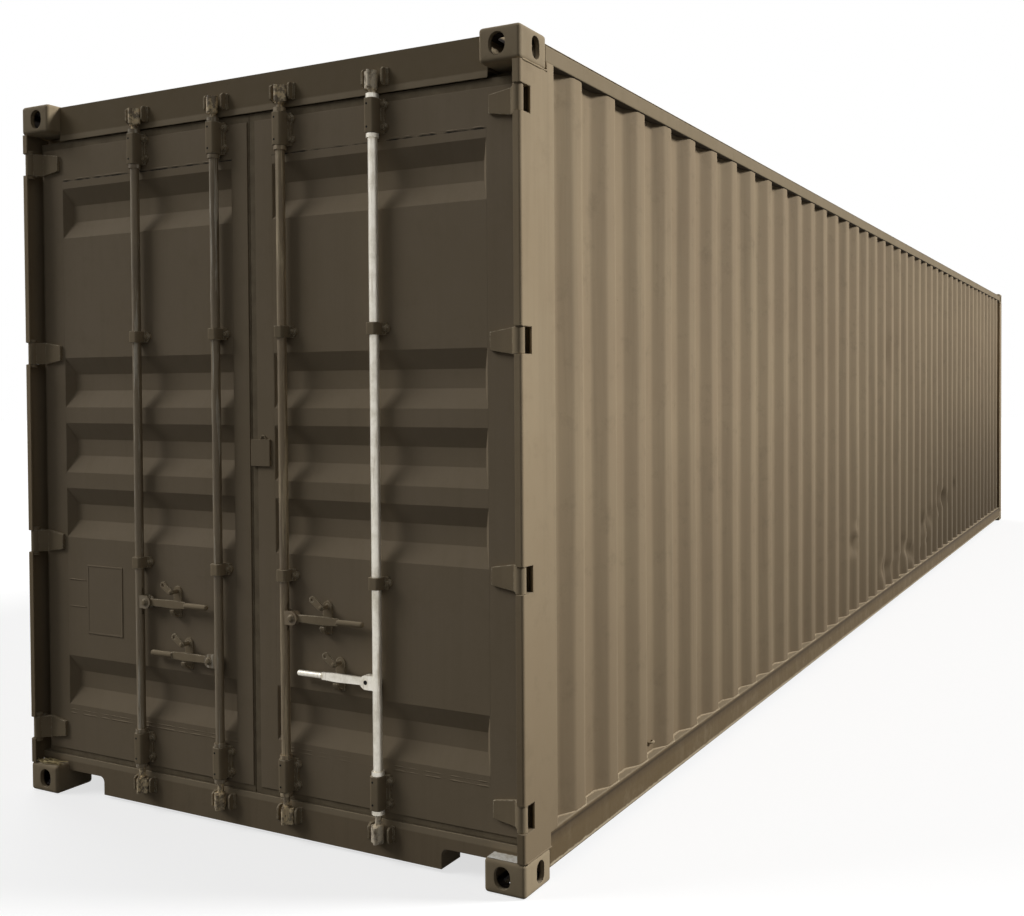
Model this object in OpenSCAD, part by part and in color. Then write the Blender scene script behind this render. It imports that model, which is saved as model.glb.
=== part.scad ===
// Forty-foot high-cube shipping container with two hinged doors and four locking bars.
// +X runs from the door end to the blind end, +Y to the left of someone facing the doors, +Z up.

/* [Container] */
// Length over the corner castings
length = 12192; // [6058:1:13716]
// Width over the corner castings
width = 2438; // [2300:1:2600]
// Height over the corner castings
height = 2896; // [2880:1:3000]

/* [Corner castings] */
// Casting length along the container
casting_l = 178; // [170:1:190]
// Casting width across the container
casting_w = 162; // [155:1:175]
// Casting height
casting_h = 118; // [112:1:125]
// Thickness of the outer side walls
casting_wall = 20; // [16:1:26]
// Thickness of the inner side walls
casting_inner_wall = 10; // [8:1:12]
// Thickness of the faces that carry load
casting_deck = 28.5; // [24:0.5:32]
// Radius of the upright outer edges
casting_round = 12; // [6:1:16]
// Length of the twist-lock aperture
aperture_l = 124; // [118:1:126]
// Width of the twist-lock aperture
aperture_w = 63.5; // [60:0.5:66]
// Aperture centre from the end face
aperture_end = 103.5; // [101:0.5:105]
// Aperture centre from the side face
aperture_side = 89.5; // [86:0.5:93]
// Height of the oval holes in the end and side faces
oval_h = 78; // [70:1:82]
// Width of the oval hole in the end face
end_oval_w = 63.5; // [56:0.5:66]
// Width of the oval hole in the side face
side_oval_w = 51; // [46:0.5:56]

/* [Steel frame] */
// Depth of a door post along the container
door_post_l = 226; // [210:1:250]
// Depth of a blind-end post along the container
front_post_l = 178; // [170:1:200]
// Plate thickness of the posts
post_plate = 6; // [5:0.5:9]
// Width of the strip that returns along the door end
post_strip = 30; // [26:1:36]
// Radius of the posts' outer bends
post_round = 10; // [7:1:12]
// Gap between the gaskets and the jambs behind them
seal_gap = 7; // [5:1:12]
// Width of the post's inner channel
jamb_w = 108; // [90:1:130]
// Depth of the header and sill faces behind the castings
frame_face = 60; // [58:1:70]
// Height of the header's face
header_h = 122; // [110:1:130]
// Drop of the drip lip under the header
lip_drop = 26; // [16:1:28]
// Forward reach of the drip lip
lip_reach = 3; // [1:0.5:4]
// Level of the sill's top face
sill_top = 150; // [140:1:158]
// Clearance under the sill and the blind end's bottom rail
sill_clear = 14; // [8:1:24]
// Clearance under the bottom side rails
rail_clear = 40; // [20:1:50]
// Length of the notch in the sill beside each casting
notch_l = 212; // [120:1:260]
// Level of the notch's top
notch_top = 88; // [60:1:100]
// Radius of the notch's inner corner
notch_round = 24; // [10:1:40]
// Size of the square top side rails
top_rail = 60; // [50:1:70]
// Wall of the top side rails
top_rail_t = 4; // [3:0.5:5]
// Corner radius of the top side rails
top_rail_round = 6; // [5.5:0.5:10]
// Inset of the side rails from the castings' side faces
rail_inset = 4; // [2:0.5:8]
// Height of the bottom side rails
bottom_rail_h = 128; // [122:1:150]
// Flange width of the bottom side rails
bottom_rail_flange = 48; // [44:1:70]
// Plate thickness of the bottom side rails
bottom_rail_t = 4.5; // [4:0.5:6]
// Bend radius of the bottom side rails
rail_bend = 9; // [7:0.5:14]
// Inset of the walls' outer flats from the rails' faces
wall_inset = 6; // [6:0.5:10]

/* [Sheet walls, roof and floor] */
// Thickness of the corrugated sheets
sheet_t = 2; // [1.6:0.2:4]
// Pitch of the side wall corrugation
side_pitch = 278; // [240:1:300]
// Depth of the side wall corrugation
side_depth = 36; // [20:1:40]
// Width of an outer flat of the side wall
side_outer_flat = 72; // [50:1:90]
// Run of a slope of the side wall
side_slope = 68; // [40:1:72]
// Pitch of the blind end's corrugation
end_pitch = 250; // [220:1:300]
// Depth of the blind end's corrugation
end_depth = 45; // [30:1:50]
// Width of an outer flat of the blind end
end_outer_flat = 104; // [80:1:110]
// Run of a slope of the blind end
end_slope = 18; // [10:1:30]
// Pitch of the roof corrugation
roof_pitch = 209; // [180:1:240]
// Height of the roof corrugation
roof_rise = 20; // [12:1:24]
// Width of a roof crest
roof_crest = 91; // [60:1:100]
// Run of a slope of the roof
roof_slope = 13; // [8:1:20]
// Flat margin of the roof at each side
roof_margin = 90; // [60:1:120]
// Clearance from the castings' tops down to the roof's crests
roof_clear = 6; // [4:1:12]
// Thickness of the plywood floor
floor_t = 28; // [21:1:32]
// Level of the floor's top face
floor_top = 160; // [152:1:172]
// Number of plywood sheets along the floor
floor_sheets = 10; // [8:1:12]
// Gap between plywood sheets
floor_gap = 3; // [2:1:6]
// Number of cross members
cross_count = 26; // [16:1:32]
// Flange width of a cross member
cross_flange = 45; // [40:1:60]
// Plate thickness of a cross member
cross_t = 4; // [3:0.5:6]

/* [Door leaves] */
// Depth of the leaves' outer face behind the castings
door_face = 62; // [60:1:68]
// Thickness of a leaf's frame
door_t = 50; // [40:1:52]
// Gap between the sill's top and the leaves' lower edge
door_bottom_gap = 28; // [24:1:36]
// Gap between the header and the leaves' upper edge
door_top_gap = 58; // [52:1:70]
// Height of a leaf's frame over its panel
leaf_head = 131; // [110:1:150]
// Height of a leaf's frame under its panel
leaf_foot = 157; // [130:1:180]
// Distance from the container's middle to the right leaf's edge
right_edge = 17; // [14:1:20]
// Distance from the container's middle to the left leaf's edge
left_edge = 22; // [20:1:30]
// Distance from the side face to a leaf's hinge edge
leaf_inset = 54; // [47:1:64]
// Distance from the middle to the inner end of a panel
panel_inner = 100; // [80:1:120]
// Width of a leaf's stile beside its hinges
hinge_stile = 115; // [105:1:160]
// Height of a pressed recess
recess_h = 208; // [180:2:230]
// Run of a recess's slopes
recess_slope = 70; // [50:1:76]
// Run of the slopes at the ends of a recess
recess_end = 30; // [20:1:70]
// Depth of a recess
recess_depth = 32; // [20:1:36]
// Pitch of the three middle recesses
recess_pitch = 274; // [250:1:300]
// Distance from a panel's upper or lower edge to the middle of the nearest recess
recess_margin = 141; // [125:1:180]
// Reach of the rubber gasket past a leaf's edge
gasket_reach = 12; // [6:0.5:13]
// Overlap of the header's sealing flange on the leaves
jamb_over = 34; // [20:1:40]
// Depth of the gasket's front behind the leaf's face
gasket_front = 4; // [3:1:8]
// Thickness of the gasket over both lips
gasket_t = 50; // [40:1:52]
// Gap between the gasket's front lip and the drip lip above it or the sill below it
gasket_gap = 6; // [5:0.5:10]
// Thickness of a gasket lip
gasket_lip = 7; // [4:0.5:9]
// Depth of the groove between the gasket's lips
gasket_groove = 5; // [2:0.5:5]

/* [Hinges] */
// Depth of the pin's axis behind the castings
pin_depth = 22; // [21:0.5:24]
// Inset of the pin's axis from the side face
pin_inset = 22; // [21:0.5:24]
// Diameter of the pin
pin_d = 18; // [14:0.5:22]
// Outer diameter of a knuckle
knuckle_d = 36; // [32:1:38]
// Height of a knuckle
knuckle_h = 90; // [80:1:100]
// Radial clearance of the pin in the knuckle
pin_fit = 0.3; // [0.2:0.1:0.5]
// Gap between a knuckle and the lugs above and below it
lug_gap = 1.5; // [1:0.5:3]
// Reach of a hinge lug past the pin's axis
lug_reach = 18; // [14:1:22]
// Reach of the slot in the post's side past the pin's axis
slot_reach = 44; // [44:1:60]
// Thickness of a hinge lug
lug_t = 12; // [10:1:16]
// Distance of the top and bottom hinges past a panel's edge
hinge_over = 70; // [55:1:75]
// Thickness of a hinge blade
blade_t = 12; // [10:1:12]
// Height of a blade at its tip
blade_tip = 62; // [40:1:80]
// Length of a blade on the leaf
blade_l = 100; // [70:1:115]

/* [Locking gear] */
// Distance of the bars' axes in front of the leaves
bar_out = 27; // [26:0.5:28]
// Diameter of a bar
bar_d = 34; // [30:1:36]
// Distance from the middle to the inner bars
bar_inner = 166; // [150:1:180]
// Distance from the middle to the outer bars
bar_outer = 592; // [570:1:620]
// Radial clearance of a bar in its brackets
bar_fit = 0.4; // [0.3:0.1:0.8]
// Wall of the bracket sleeves
sleeve_t = 6; // [5:0.5:7]
// Height of the bearing sleeves at the top and bottom
bearing_h = 122; // [100:2:130]
// Gap between the top collars and the drip lip
bearing_gap = 5.5; // [3:0.5:12]
// Height of the guides between the bearings
guide_h = 44; // [36:2:60]
// Distance from a panel's middle to the guides' centres
guide_far = 454; // [430:1:480]
// Reach of a bracket's flange from the bar's axis
flange_reach = 52; // [46:1:60]
// Radius of the ears on a bracket's flange
ear_r = 14; // [10:0.5:16]
// Distance of a bearing's ears from its ends
ear_inset = 22; // [18:0.5:26]
// Rounding of a bracket's front corners
sleeve_round = 12; // [8:0.5:16]
// Thickness of a bracket's flange
flange_t = 9; // [6:0.5:10]
// Height of the collars on a bar
collar_h = 15; // [10:1:18]
// Gap between a collar and its bearing
collar_gap = 1.5; // [1:0.5:3]
// Diameter of a bar's neck beside a cam
neck_d = 24; // [20:1:26]
// Drop of the top cams' lower ends below the header
header_cam_drop = 10; // [4:1:14]
// Drop of the bottom cams' upper ends below the sill's top
sill_cam_drop = 17; // [10:1:20]
// Height of a cam
cam_h = 60; // [50:1:64]
// Radius of a cam's hub
cam_r = 19; // [17:0.5:20]
// Reach of a cam's outward lobe
lobe_reach = 27; // [24:0.5:28]
// Reach of a cam's sideways horn
horn_reach = 32; // [28:0.5:33]
// Radius of the tips of a cam's lobe and horn
cam_tip = 8; // [6:0.5:9]
// Half width of a cam's lobe and horn at the hub
cam_root = 15; // [12:0.5:16]
// Radius of the ring between a cam and its neck
ring_r = 17.5; // [15:0.5:18]
// Height of the ring between a cam and its neck
ring_h = 6; // [4:0.5:8]
// Distance from a bar's axis to the inner face of a keeper lug
keeper_half = 39; // [38:0.5:42]
// Thickness of a keeper lug
keeper_t = 8; // [6:1:12]
// Depth of a keeper lug's front behind the castings
keeper_front = 32; // [24:1:40]
// Width of a keeper lug's foot
foot_w = 8; // [6:1:16]
// Thickness of a keeper lug's foot
foot_t = 6; // [4:0.5:8]

/* [Handles] */
// Level of the two upper handles
handle_high = 850; // [800:1:880]
// Level of the two lower handles
handle_low = 648; // [620:1:690]
// Distance from a bar's axis to its handle's bolt
bolt_out = 42; // [40:1:50]
// Diameter of a handle's bolt
bolt_d = 14; // [10:0.5:16]
// Radial clearance of a handle on its bolt
bolt_fit = 0.4; // [0.2:0.1:0.6]
// Thickness of a handle's strap
strap_t = 10; // [8:0.5:12]
// Height of a handle's strap at its ends
strap_h = 26; // [22:1:28]
// Height of a handle's strap at its retainer
swell_h = 32; // [28:1:36]
// Distance from the bar's axis to the end of the strap
strap_end = 250; // [230:1:270]
// Distance from the bar's axis to the end of the grip
grip_end = 366; // [340:1:380]
// Diameter of the grip
grip_d = 22; // [18:1:26]
// Thickness of a plate of the bar's fork
fork_t = 7; // [5:0.5:8]
// Gap between the fork and the strap
fork_gap = 2; // [1:0.5:3]
// Height of the fork
fork_h = 52; // [44:1:60]

/* [Handle retainers] */
// Distance from a bar's axis to its handle's retainer
retainer_out = 184; // [170:1:200]
// Width of a retainer's plate
retainer_w = 40; // [36:1:48]
// Thickness of a retainer's plate
retainer_t = 6; // [4:0.5:8]
// Height of the catch's pivot above the handle
pivot_up = 50; // [48:1:56]
// Diameter of the catch's pivot boss
boss_d = 18; // [14:1:18]
// Diameter of the catch's pivot pin
catch_pin_d = 10; // [8:0.5:12]
// Radial clearance of the catch on its pivot pin
catch_fit = 0.3; // [0.2:0.1:0.5]
// Gap between a catch and the handle behind it
catch_gap = 6; // [5:0.5:8]
// Thickness of a catch
catch_t = 6; // [4:0.5:8]
// Length of a catch from its pivot
catch_l = 60; // [50:1:70]
// Width of a catch at its pivot
catch_w = 24; // [20:1:28]
// Radius of a catch's free end
catch_tip = 14; // [12:0.5:16]
// Diameter of the padlock hole in a catch
catch_hole = 13; // [10:0.5:16]
// Angle of a catch that is swung aside
catch_rest = 35; // [30:1:60]
// Gap between a handle and the hook under it
rest_gap = 5; // [5:0.5:8]
// Width of the hook under a handle
hook_w = 20; // [14:1:30]
// Thickness of the hook under a handle
hook_t = 8; // [5:0.5:10]

/* [Small plates] */
// Width of the overlap plate on the right leaf
overlap_w = 93; // [80:1:100]
// Height of the overlap plate
overlap_h = 102; // [80:1:120]
// Thickness of the overlap plate
overlap_t = 8; // [5:0.5:10]
// Distance from the middle to the overlap plate's free edge
overlap_edge = 11; // [8:1:13]
// Corrugation that holds a door tie-back hook, counted from the door end
tie_bay = 3; // [1:1:8]
// Height of a tie-back hook above the bottom rail
tie_up = 44; // [30:1:80]
// Diameter of a tie-back hook's rod
tie_d = 10; // [6:1:10]
// Outer width of a tie-back hook's loop
tie_w = 44; // [34:1:48]

/* [Hidden] */
half_l = length / 2;
half_w = width / 2;
top_z = height;
frame_half = half_w - casting_w;
header_z = top_z - header_h;
roof_top = top_z - roof_clear;
roof_low = roof_top - roof_rise;
top_rail_z = roof_low - sheet_t - top_rail;
rail_face = half_w - rail_inset;
wall_face = rail_face - wall_inset;
wall_start = -half_l + door_post_l;
wall_end = half_l - front_post_l;
bottom_rail_top = rail_clear + bottom_rail_h;
floor_half = wall_face - side_depth - sheet_t;
cross_top = floor_top - floor_t;
pin_y = half_w - pin_inset;
hinge_edge = half_w - leaf_inset;
panel_outer = hinge_edge - hinge_stile;
door_bottom = sill_top + door_bottom_gap;
door_top = header_z - door_top_gap;
panel_low = door_bottom + leaf_foot;
panel_high = door_top - leaf_head;
panel_h = panel_high - panel_low;
door_mid = (panel_low + panel_high) / 2;
hinge_far = panel_h / 2 + hinge_over;
hinge_levels = [for (step = [-3:2:3]) door_mid + step * hinge_far / 3];
recess_far = panel_h / 2 - recess_margin;
recess_levels = [for (step = [-recess_far, -recess_pitch, 0, recess_pitch, recess_far]) door_mid + step];
guide_levels = [door_mid - guide_far, door_mid + guide_far];
bar_depth = door_face - bar_out;
bar_high = header_z - lip_drop - bearing_gap;
bar_low = 2 * door_mid - bar_high;
bearing_end = collar_h + collar_gap + bearing_h / 2;
bearing_levels = [bar_low + bearing_end, bar_high - bearing_end];
top_cam_z = header_z - header_cam_drop;
bottom_cam_z = sill_top - sill_cam_drop - cam_h;
jamb_depth = door_face + gasket_front + gasket_t + seal_gap;
gasket_head = door_top_gap - lip_drop - gasket_gap;
gasket_foot = door_bottom_gap - gasket_gap;
catch_back = bar_depth - strap_t / 2 - catch_gap;
slot_h = knuckle_h + 2 * lug_gap;
slot_depth = pin_depth + slot_reach;
jamb_half = half_w - jamb_w;
front_rail_l = rail_inset + end_depth + sheet_t + cross_t;
sleeve_r = bar_d / 2 + bar_fit + sleeve_t;
collar_r = bar_d / 2 + sleeve_t;
fork_half = strap_t / 2 + fork_gap + fork_t;
// Each bar: its distance from the middle, its handle's level and the way its handle points
bars = [
    [bar_outer, handle_high, -1],
    [bar_inner, handle_low, 1],
    [-bar_inner, handle_high, -1],
    [-bar_outer, handle_low, 1]
];
paint = "#8c7e64";
shade_paint = "#6f6452";
bare_steel = "#b9b6ac";
rubber = "#2b2a28";
plywood = "#8a6440";
joint_cut = 1;
$fn = 48;

// Places its children with X as the depth behind the door end's castings
module at_door_end() {
    translate([-half_l, 0, 0]) children();
}

// Places its children with X as the depth behind the blind end's castings
module at_front_end() {
    translate([half_l, 0, 0]) mirror([1, 0, 0]) children();
}

module both_sides() {
    children();
    mirror([0, 1, 0]) children();
}

// Extrudes an outline drawn in depth and height along Y, from y0 to y1
module across(y0, y1) {
    translate([0, y1, 0]) rotate([90, 0, 0]) linear_extrude(y1 - y0) children();
}

// Extrudes an outline drawn in Y and Z along X, from x0 to x1
module along(x0, x1) {
    translate([x0, 0, 0]) rotate([90, 0, 90]) linear_extrude(x1 - x0) children();
}

module box(low, high) {
    translate(low) cube(high - low);
}

// A flat oval of the given length and width, long along the first axis
module oval(l, w) {
    square([l - w, w], center = true);
    for (side = [-1, 1]) translate([side * (l - w) / 2, 0]) circle(d = w);
}

// A rectangle from the origin with the two corners at its far end rounded
module rounded_end(w, h, r) {
    square([w - r, h]);
    translate([0, r]) square([w, h - 2 * r]);
    for (y = [r, h - r]) translate([w - r, y]) circle(r);
}

// A square from the origin with rounded corners
module rounded_square(size, r) {
    translate([r, 0]) square([size - 2 * r, size]);
    translate([0, r]) square([size, size - 2 * r]);
    for (x = [r, size - r]) for (y = [r, size - r]) translate([x, y]) circle(r);
}

// A rectangle from the origin with its first corner rounded
module rounded_corner(w, h, r) {
    translate([r, 0]) square([w - r, h]);
    translate([0, r]) square([w, h - r]);
    translate([r, r]) circle(r);
}

// The outline of the square tube that frames the roof
module tube_outline() {
    difference() {
        rounded_square(top_rail, top_rail_round);
        translate([top_rail_t, top_rail_t])
            rounded_square(top_rail - 2 * top_rail_t, top_rail_round - top_rail_t);
    }
}

// A tapered arm along +X from a hub at the origin to a round tip
module arm(root, tip, reach) {
    far = reach - tip;
    polygon([[0, -root], [far, -tip], [far, tip], [0, root]]);
    translate([far, 0]) circle(tip);
}

// The points of one edge of a corrugated sheet: outer flats at 0, inner flats at the depth
function corrugation(count, pitch, depth, flat, slope, lead) = [
    for (i = [0:count - 1])
        each [
            [lead + i * pitch, depth],
            [lead + i * pitch + slope, 0],
            [lead + i * pitch + slope + flat, 0],
            [lead + i * pitch + 2 * slope + flat, depth]
        ]
];

// How many corrugations fit in a span, with at least one slope's run left over at each end
function corrugation_count(span, pitch, flat, slope) = floor((span - 4 * slope - flat) / pitch) + 1;

// The flat length before the first corrugation
function corrugation_lead(span, pitch, flat, slope) =
    (span - (corrugation_count(span, pitch, flat, slope) - 1) * pitch - 2 * slope - flat) / 2;

// The points of a corrugated face, from 0 to the span
function corrugated_face(span, pitch, depth, flat, slope) = concat(
    [[0, depth]],
    corrugation(corrugation_count(span, pitch, flat, slope), pitch, depth, flat, slope,
        corrugation_lead(span, pitch, flat, slope)),
    [[span, depth]]
);

// A corrugated sheet's outline, with its inner face one sheet deeper
module corrugated_outline(span, pitch, depth, flat, slope) {
    face = corrugated_face(span, pitch, depth, flat, slope);
    back = [for (i = [len(face) - 1:-1:0]) face[i] + [0, sheet_t]];
    polygon(concat(face, back));
}

// One corner casting, with its outer corner at the origin and its load face at the bottom
module casting() {
    cavity_h = casting_h - 2 * casting_deck;
    difference() {
        linear_extrude(casting_h) rounded_corner(casting_l, casting_w, casting_round);
        box([casting_wall, casting_wall, casting_deck],
            [casting_l - casting_inner_wall, casting_w - casting_inner_wall, casting_deck + cavity_h]);
        translate([aperture_end, aperture_side, -joint_cut])
            linear_extrude(casting_deck + 2 * joint_cut) oval(aperture_l, aperture_w);
        translate([-joint_cut, aperture_side, casting_h / 2]) rotate([90, 0, 90])
            linear_extrude(casting_wall + 2 * joint_cut) rotate(90) oval(oval_h, end_oval_w);
        translate([aperture_end, -joint_cut, casting_h / 2]) rotate([-90, 0, 0])
            linear_extrude(casting_wall + 2 * joint_cut) rotate(90) oval(oval_h, side_oval_w);
    }
}

// The four castings of one end, in that end's depth
module end_castings() {
    both_sides() {
        translate([0, half_w, 0]) mirror([0, 1, 0]) casting();
        translate([0, half_w, top_z]) mirror([0, 0, 1]) mirror([0, 1, 0]) casting();
    }
}

module corner_castings() {
    color(paint) {
        at_door_end() end_castings();
        at_front_end() end_castings();
    }
}

// Outline of a door post in plan: a J-shaped outer plate and an inner channel behind the leaf
module door_post_outline() {
    translate([0, half_w]) mirror([0, 1]) difference() {
        rounded_corner(door_post_l, jamb_w, post_round);
        translate([post_plate, post_plate]) square([jamb_depth - post_plate, jamb_w]);
        translate([-joint_cut, post_strip]) square([jamb_depth + joint_cut, jamb_w]);
        translate([jamb_depth + post_plate, post_plate])
            square([door_post_l - jamb_depth - 2 * post_plate, jamb_w - 2 * post_plate]);
    }
}

// A door post on the +Y side; behind the castings it runs from the bottom rail to the top rail
module door_post() {
    difference() {
        union() {
            translate([0, 0, casting_h]) linear_extrude(top_z - 2 * casting_h) intersection() {
                door_post_outline();
                square([casting_l, half_w]);
            }
            translate([0, 0, bottom_rail_top]) linear_extrude(top_rail_z - bottom_rail_top) intersection() {
                door_post_outline();
                translate([casting_l, 0]) square([door_post_l, half_w]);
            }
        }
        for (level = hinge_levels)
            box([-joint_cut, half_w - post_strip - joint_cut, level - slot_h / 2],
                [slot_depth, half_w + joint_cut, level + slot_h / 2]);
    }
}

module door_posts() {
    color(paint) at_door_end() both_sides() door_post();
}

// Blind-end posts: hollow pressed sections
module front_posts() {
    color(paint) at_front_end() both_sides()
        translate([0, half_w, casting_h]) mirror([0, 1, 0]) linear_extrude(top_z - 2 * casting_h)
            difference() {
                rounded_corner(front_post_l, casting_w, post_round);
                translate([post_plate, post_plate])
                    square([front_post_l - 2 * post_plate, casting_w - 2 * post_plate]);
            }
}

// A box beam with a drip lip in front and a wider sealing flange behind the leaves
module door_header() {
    flange_low = door_top - jamb_over;
    flange_high = top_z - max(header_h, casting_h);
    color(paint) at_door_end() {
        across(-frame_half, frame_half) polygon([
            [frame_face, roof_top],
            [frame_face, header_z],
            [frame_face - lip_reach, header_z - lip_drop],
            [frame_face - lip_reach + sheet_t, header_z - lip_drop],
            [frame_face + 2 * sheet_t, header_z - sheet_t],
            [casting_l, header_z - sheet_t],
            [casting_l, roof_top]
        ]);
        box([jamb_depth, -jamb_half, flange_low], [casting_l, jamb_half, flange_high]);
        box([jamb_depth, -frame_half, flange_low], [casting_l, frame_half, header_z]);
    }
}

// The cut-out beside a casting, with its inner corner rounded
module notch_outline() {
    low = sill_clear - joint_cut;
    translate([frame_half - notch_l, notch_top]) mirror([0, 1])
        rounded_corner(notch_l + joint_cut, notch_top - low, notch_round);
}

// A beam between the castings with a notch beside each, and a wider ledge over them
module door_sill() {
    post_inner = half_w - post_plate;
    color(paint) at_door_end() {
        along(frame_face, casting_l) difference() {
            translate([-frame_half, sill_clear]) square([2 * frame_half, sill_top - sill_clear]);
            for (side = [0, 1]) mirror([side, 0]) notch_outline();
        }
        box([frame_face, -jamb_half, casting_h], [casting_l, jamb_half, sill_top]);
        box([jamb_depth, -jamb_half, casting_h], [casting_l, jamb_half, floor_top]);
        box([frame_face, -post_inner, casting_h], [jamb_depth, post_inner, sill_top]);
    }
}

// A bent channel's outline from the origin, with its web at the far side
module channel_outline(w, h) {
    difference() {
        rounded_end(w, h, rail_bend);
        translate([-joint_cut, bottom_rail_t])
            rounded_end(w - bottom_rail_t + joint_cut, h - 2 * bottom_rail_t, rail_bend - bottom_rail_t);
    }
}

// A square tube with a plate that closes the roof between the castings, and a channel under the wall
module front_rails() {
    color(paint) at_front_end() across(-frame_half, frame_half) {
        translate([0, top_rail_z]) tube_outline();
        translate([top_rail_round, roof_low - sheet_t]) square([casting_l - top_rail_round, sheet_t]);
        translate([front_rail_l, sill_clear]) mirror([1, 0])
            channel_outline(front_rail_l, bottom_rail_top - sill_clear);
    }
}

module top_side_rails() {
    color(paint) both_sides() along(-half_l + casting_l, half_l - casting_l)
        translate([rail_face - top_rail, top_rail_z]) tube_outline();
}

module bottom_side_rails() {
    color(paint) both_sides() along(-half_l + casting_l, half_l - casting_l)
        translate([rail_face - bottom_rail_flange, rail_clear])
            channel_outline(bottom_rail_flange, bottom_rail_h);
}

// The wall on the +Y side; its mirror image is the one on the right
module side_wall() {
    translate([wall_start, wall_face, bottom_rail_top]) mirror([0, 1, 0])
        linear_extrude(top_rail_z - bottom_rail_top)
            corrugated_outline(wall_end - wall_start, side_pitch, side_depth,
                side_outer_flat, side_slope);
}

module left_side_wall() {
    color(paint) side_wall();
}

module right_side_wall() {
    color(paint) mirror([0, 1, 0]) side_wall();
}

module front_end_wall() {
    color(paint) at_front_end() translate([rail_inset, -frame_half, bottom_rail_top]) mirror([1, -1, 0])
        linear_extrude(top_rail_z - bottom_rail_top)
            corrugated_outline(2 * frame_half, end_pitch, end_depth, end_outer_flat, end_slope);
}

// The space under the roof's upper face, lowered by a drop; crests end in slopes at the margins
module under_roof(drop) {
    span = length - 2 * casting_l;
    crest_half = rail_face - roof_margin;
    face = corrugated_face(span, roof_pitch, roof_rise, roof_crest, roof_slope);
    base = roof_low - 2 * sheet_t;
    translate([0, 0, -drop]) intersection() {
        across(-rail_face, rail_face) polygon(concat(
            [[-span / 2, base]],
            [for (point = face) [point[0] - span / 2, roof_top - point[1]]],
            [[span / 2, base]]
        ));
        along(-span / 2, span / 2) polygon([
            [-rail_face, base],
            [-rail_face, roof_low],
            [-crest_half - roof_slope, roof_low],
            [-crest_half, roof_top],
            [crest_half, roof_top],
            [crest_half + roof_slope, roof_low],
            [rail_face, roof_low],
            [rail_face, base]
        ]);
    }
}

module roof_sheet() {
    color(paint) difference() {
        under_roof(0);
        under_roof(sheet_t);
    }
}

// Plywood sheets between the sill and the blind end, with a narrower one between the end posts
module floor_boards() {
    x0 = -half_l + casting_l;
    x1 = half_l - front_post_l;
    board = (x1 - x0 - floor_sheets * floor_gap) / floor_sheets;
    color(plywood) {
        for (i = [0:floor_sheets - 1]) {
            start = x0 + i * (board + floor_gap);
            box([start, -floor_half, cross_top], [start + board, floor_half, floor_top]);
        }
        box([x1, -frame_half, cross_top], [half_l - front_rail_l, frame_half, floor_top]);
    }
}

module cross_members() {
    x0 = -half_l + casting_l + cross_flange;
    pitch = (length - 2 * casting_l - 3 * cross_flange) / (cross_count - 1);
    reach = rail_face - rail_bend;
    low = rail_clear + bottom_rail_t;
    color(shade_paint) for (i = [0:cross_count - 1]) {
        x = x0 + i * pitch;
        across(-reach, reach) difference() {
            translate([x, low]) square([cross_flange, cross_top - low]);
            translate([x + cross_t, low + cross_t]) square([cross_flange, cross_top - low - 2 * cross_t]);
        }
    }
}

// Two lugs beside each cam, with sloped noses and a foot at the outer side
module keeper_pair(y, z) {
    for (side = [0, 1]) translate([0, y, z]) mirror([0, side, 0]) {
        across(keeper_half, keeper_half + keeper_t) polygon([
            [frame_face, 0],
            [frame_face, cam_h],
            [keeper_front + keeper_t, cam_h],
            [keeper_front, cam_h - keeper_t],
            [keeper_front, keeper_t],
            [keeper_front + keeper_t, 0]
        ]);
        box([frame_face - foot_t, keeper_half, 0], [frame_face, keeper_half + keeper_t + foot_w, cam_h]);
    }
}

module cam_keepers() {
    color(paint) at_door_end() for (bar = bars) {
        keeper_pair(bar[0], header_z);
        keeper_pair(bar[0], bottom_cam_z);
    }
}

// Lugs above and below each knuckle, joined by the pin
module hinge_lugs() {
    inner = half_w - post_plate;
    color(paint) at_door_end() both_sides() for (level = hinge_levels) {
        for (side = [-1, 1])
            translate([0, 0, level + side * (slot_h + lug_t) / 2 - lug_t / 2])
                linear_extrude(lug_t) union() {
                    translate([post_plate, pin_y])
                        square([pin_depth + lug_reach - post_plate, inner - pin_y]);
                    translate([pin_depth, pin_y]) circle(d = 2 * (pin_depth - post_plate));
                }
        translate([pin_depth, pin_y, level - slot_h / 2 - lug_t])
            cylinder(d = pin_d, h = slot_h + 2 * lug_t);
    }
}

// Bent rods in an inner flat of each side wall, for tying an open door back
module tie_back_hooks() {
    span = wall_end - wall_start;
    flat_mid = (side_pitch - 2 * side_slope - side_outer_flat) / 2;
    x = wall_start + corrugation_lead(span, side_pitch, side_outer_flat, side_slope)
        + tie_bay * side_pitch - flat_mid;
    bend_r = (tie_w - tie_d) / 2;
    color(shade_paint) both_sides()
        translate([x, wall_face - side_depth, bottom_rail_top + tie_up])
            rotate_extrude(angle = 180) translate([bend_r, 0]) circle(d = tie_d);
}

// A leaf's frame on the +Y side, from the middle edge to the hinge edge
module leaf_frame(edge) {
    difference() {
        box([door_face, edge, door_bottom], [door_face + door_t, hinge_edge, door_top]);
        box([door_face - joint_cut, panel_inner, panel_low],
            [door_face + door_t + joint_cut, panel_outer, panel_high]);
    }
}

module left_door_frame() {
    color(paint) at_door_end() leaf_frame(left_edge);
}

module right_door_frame() {
    color(paint) at_door_end() mirror([0, 1, 0]) leaf_frame(right_edge);
}

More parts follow.
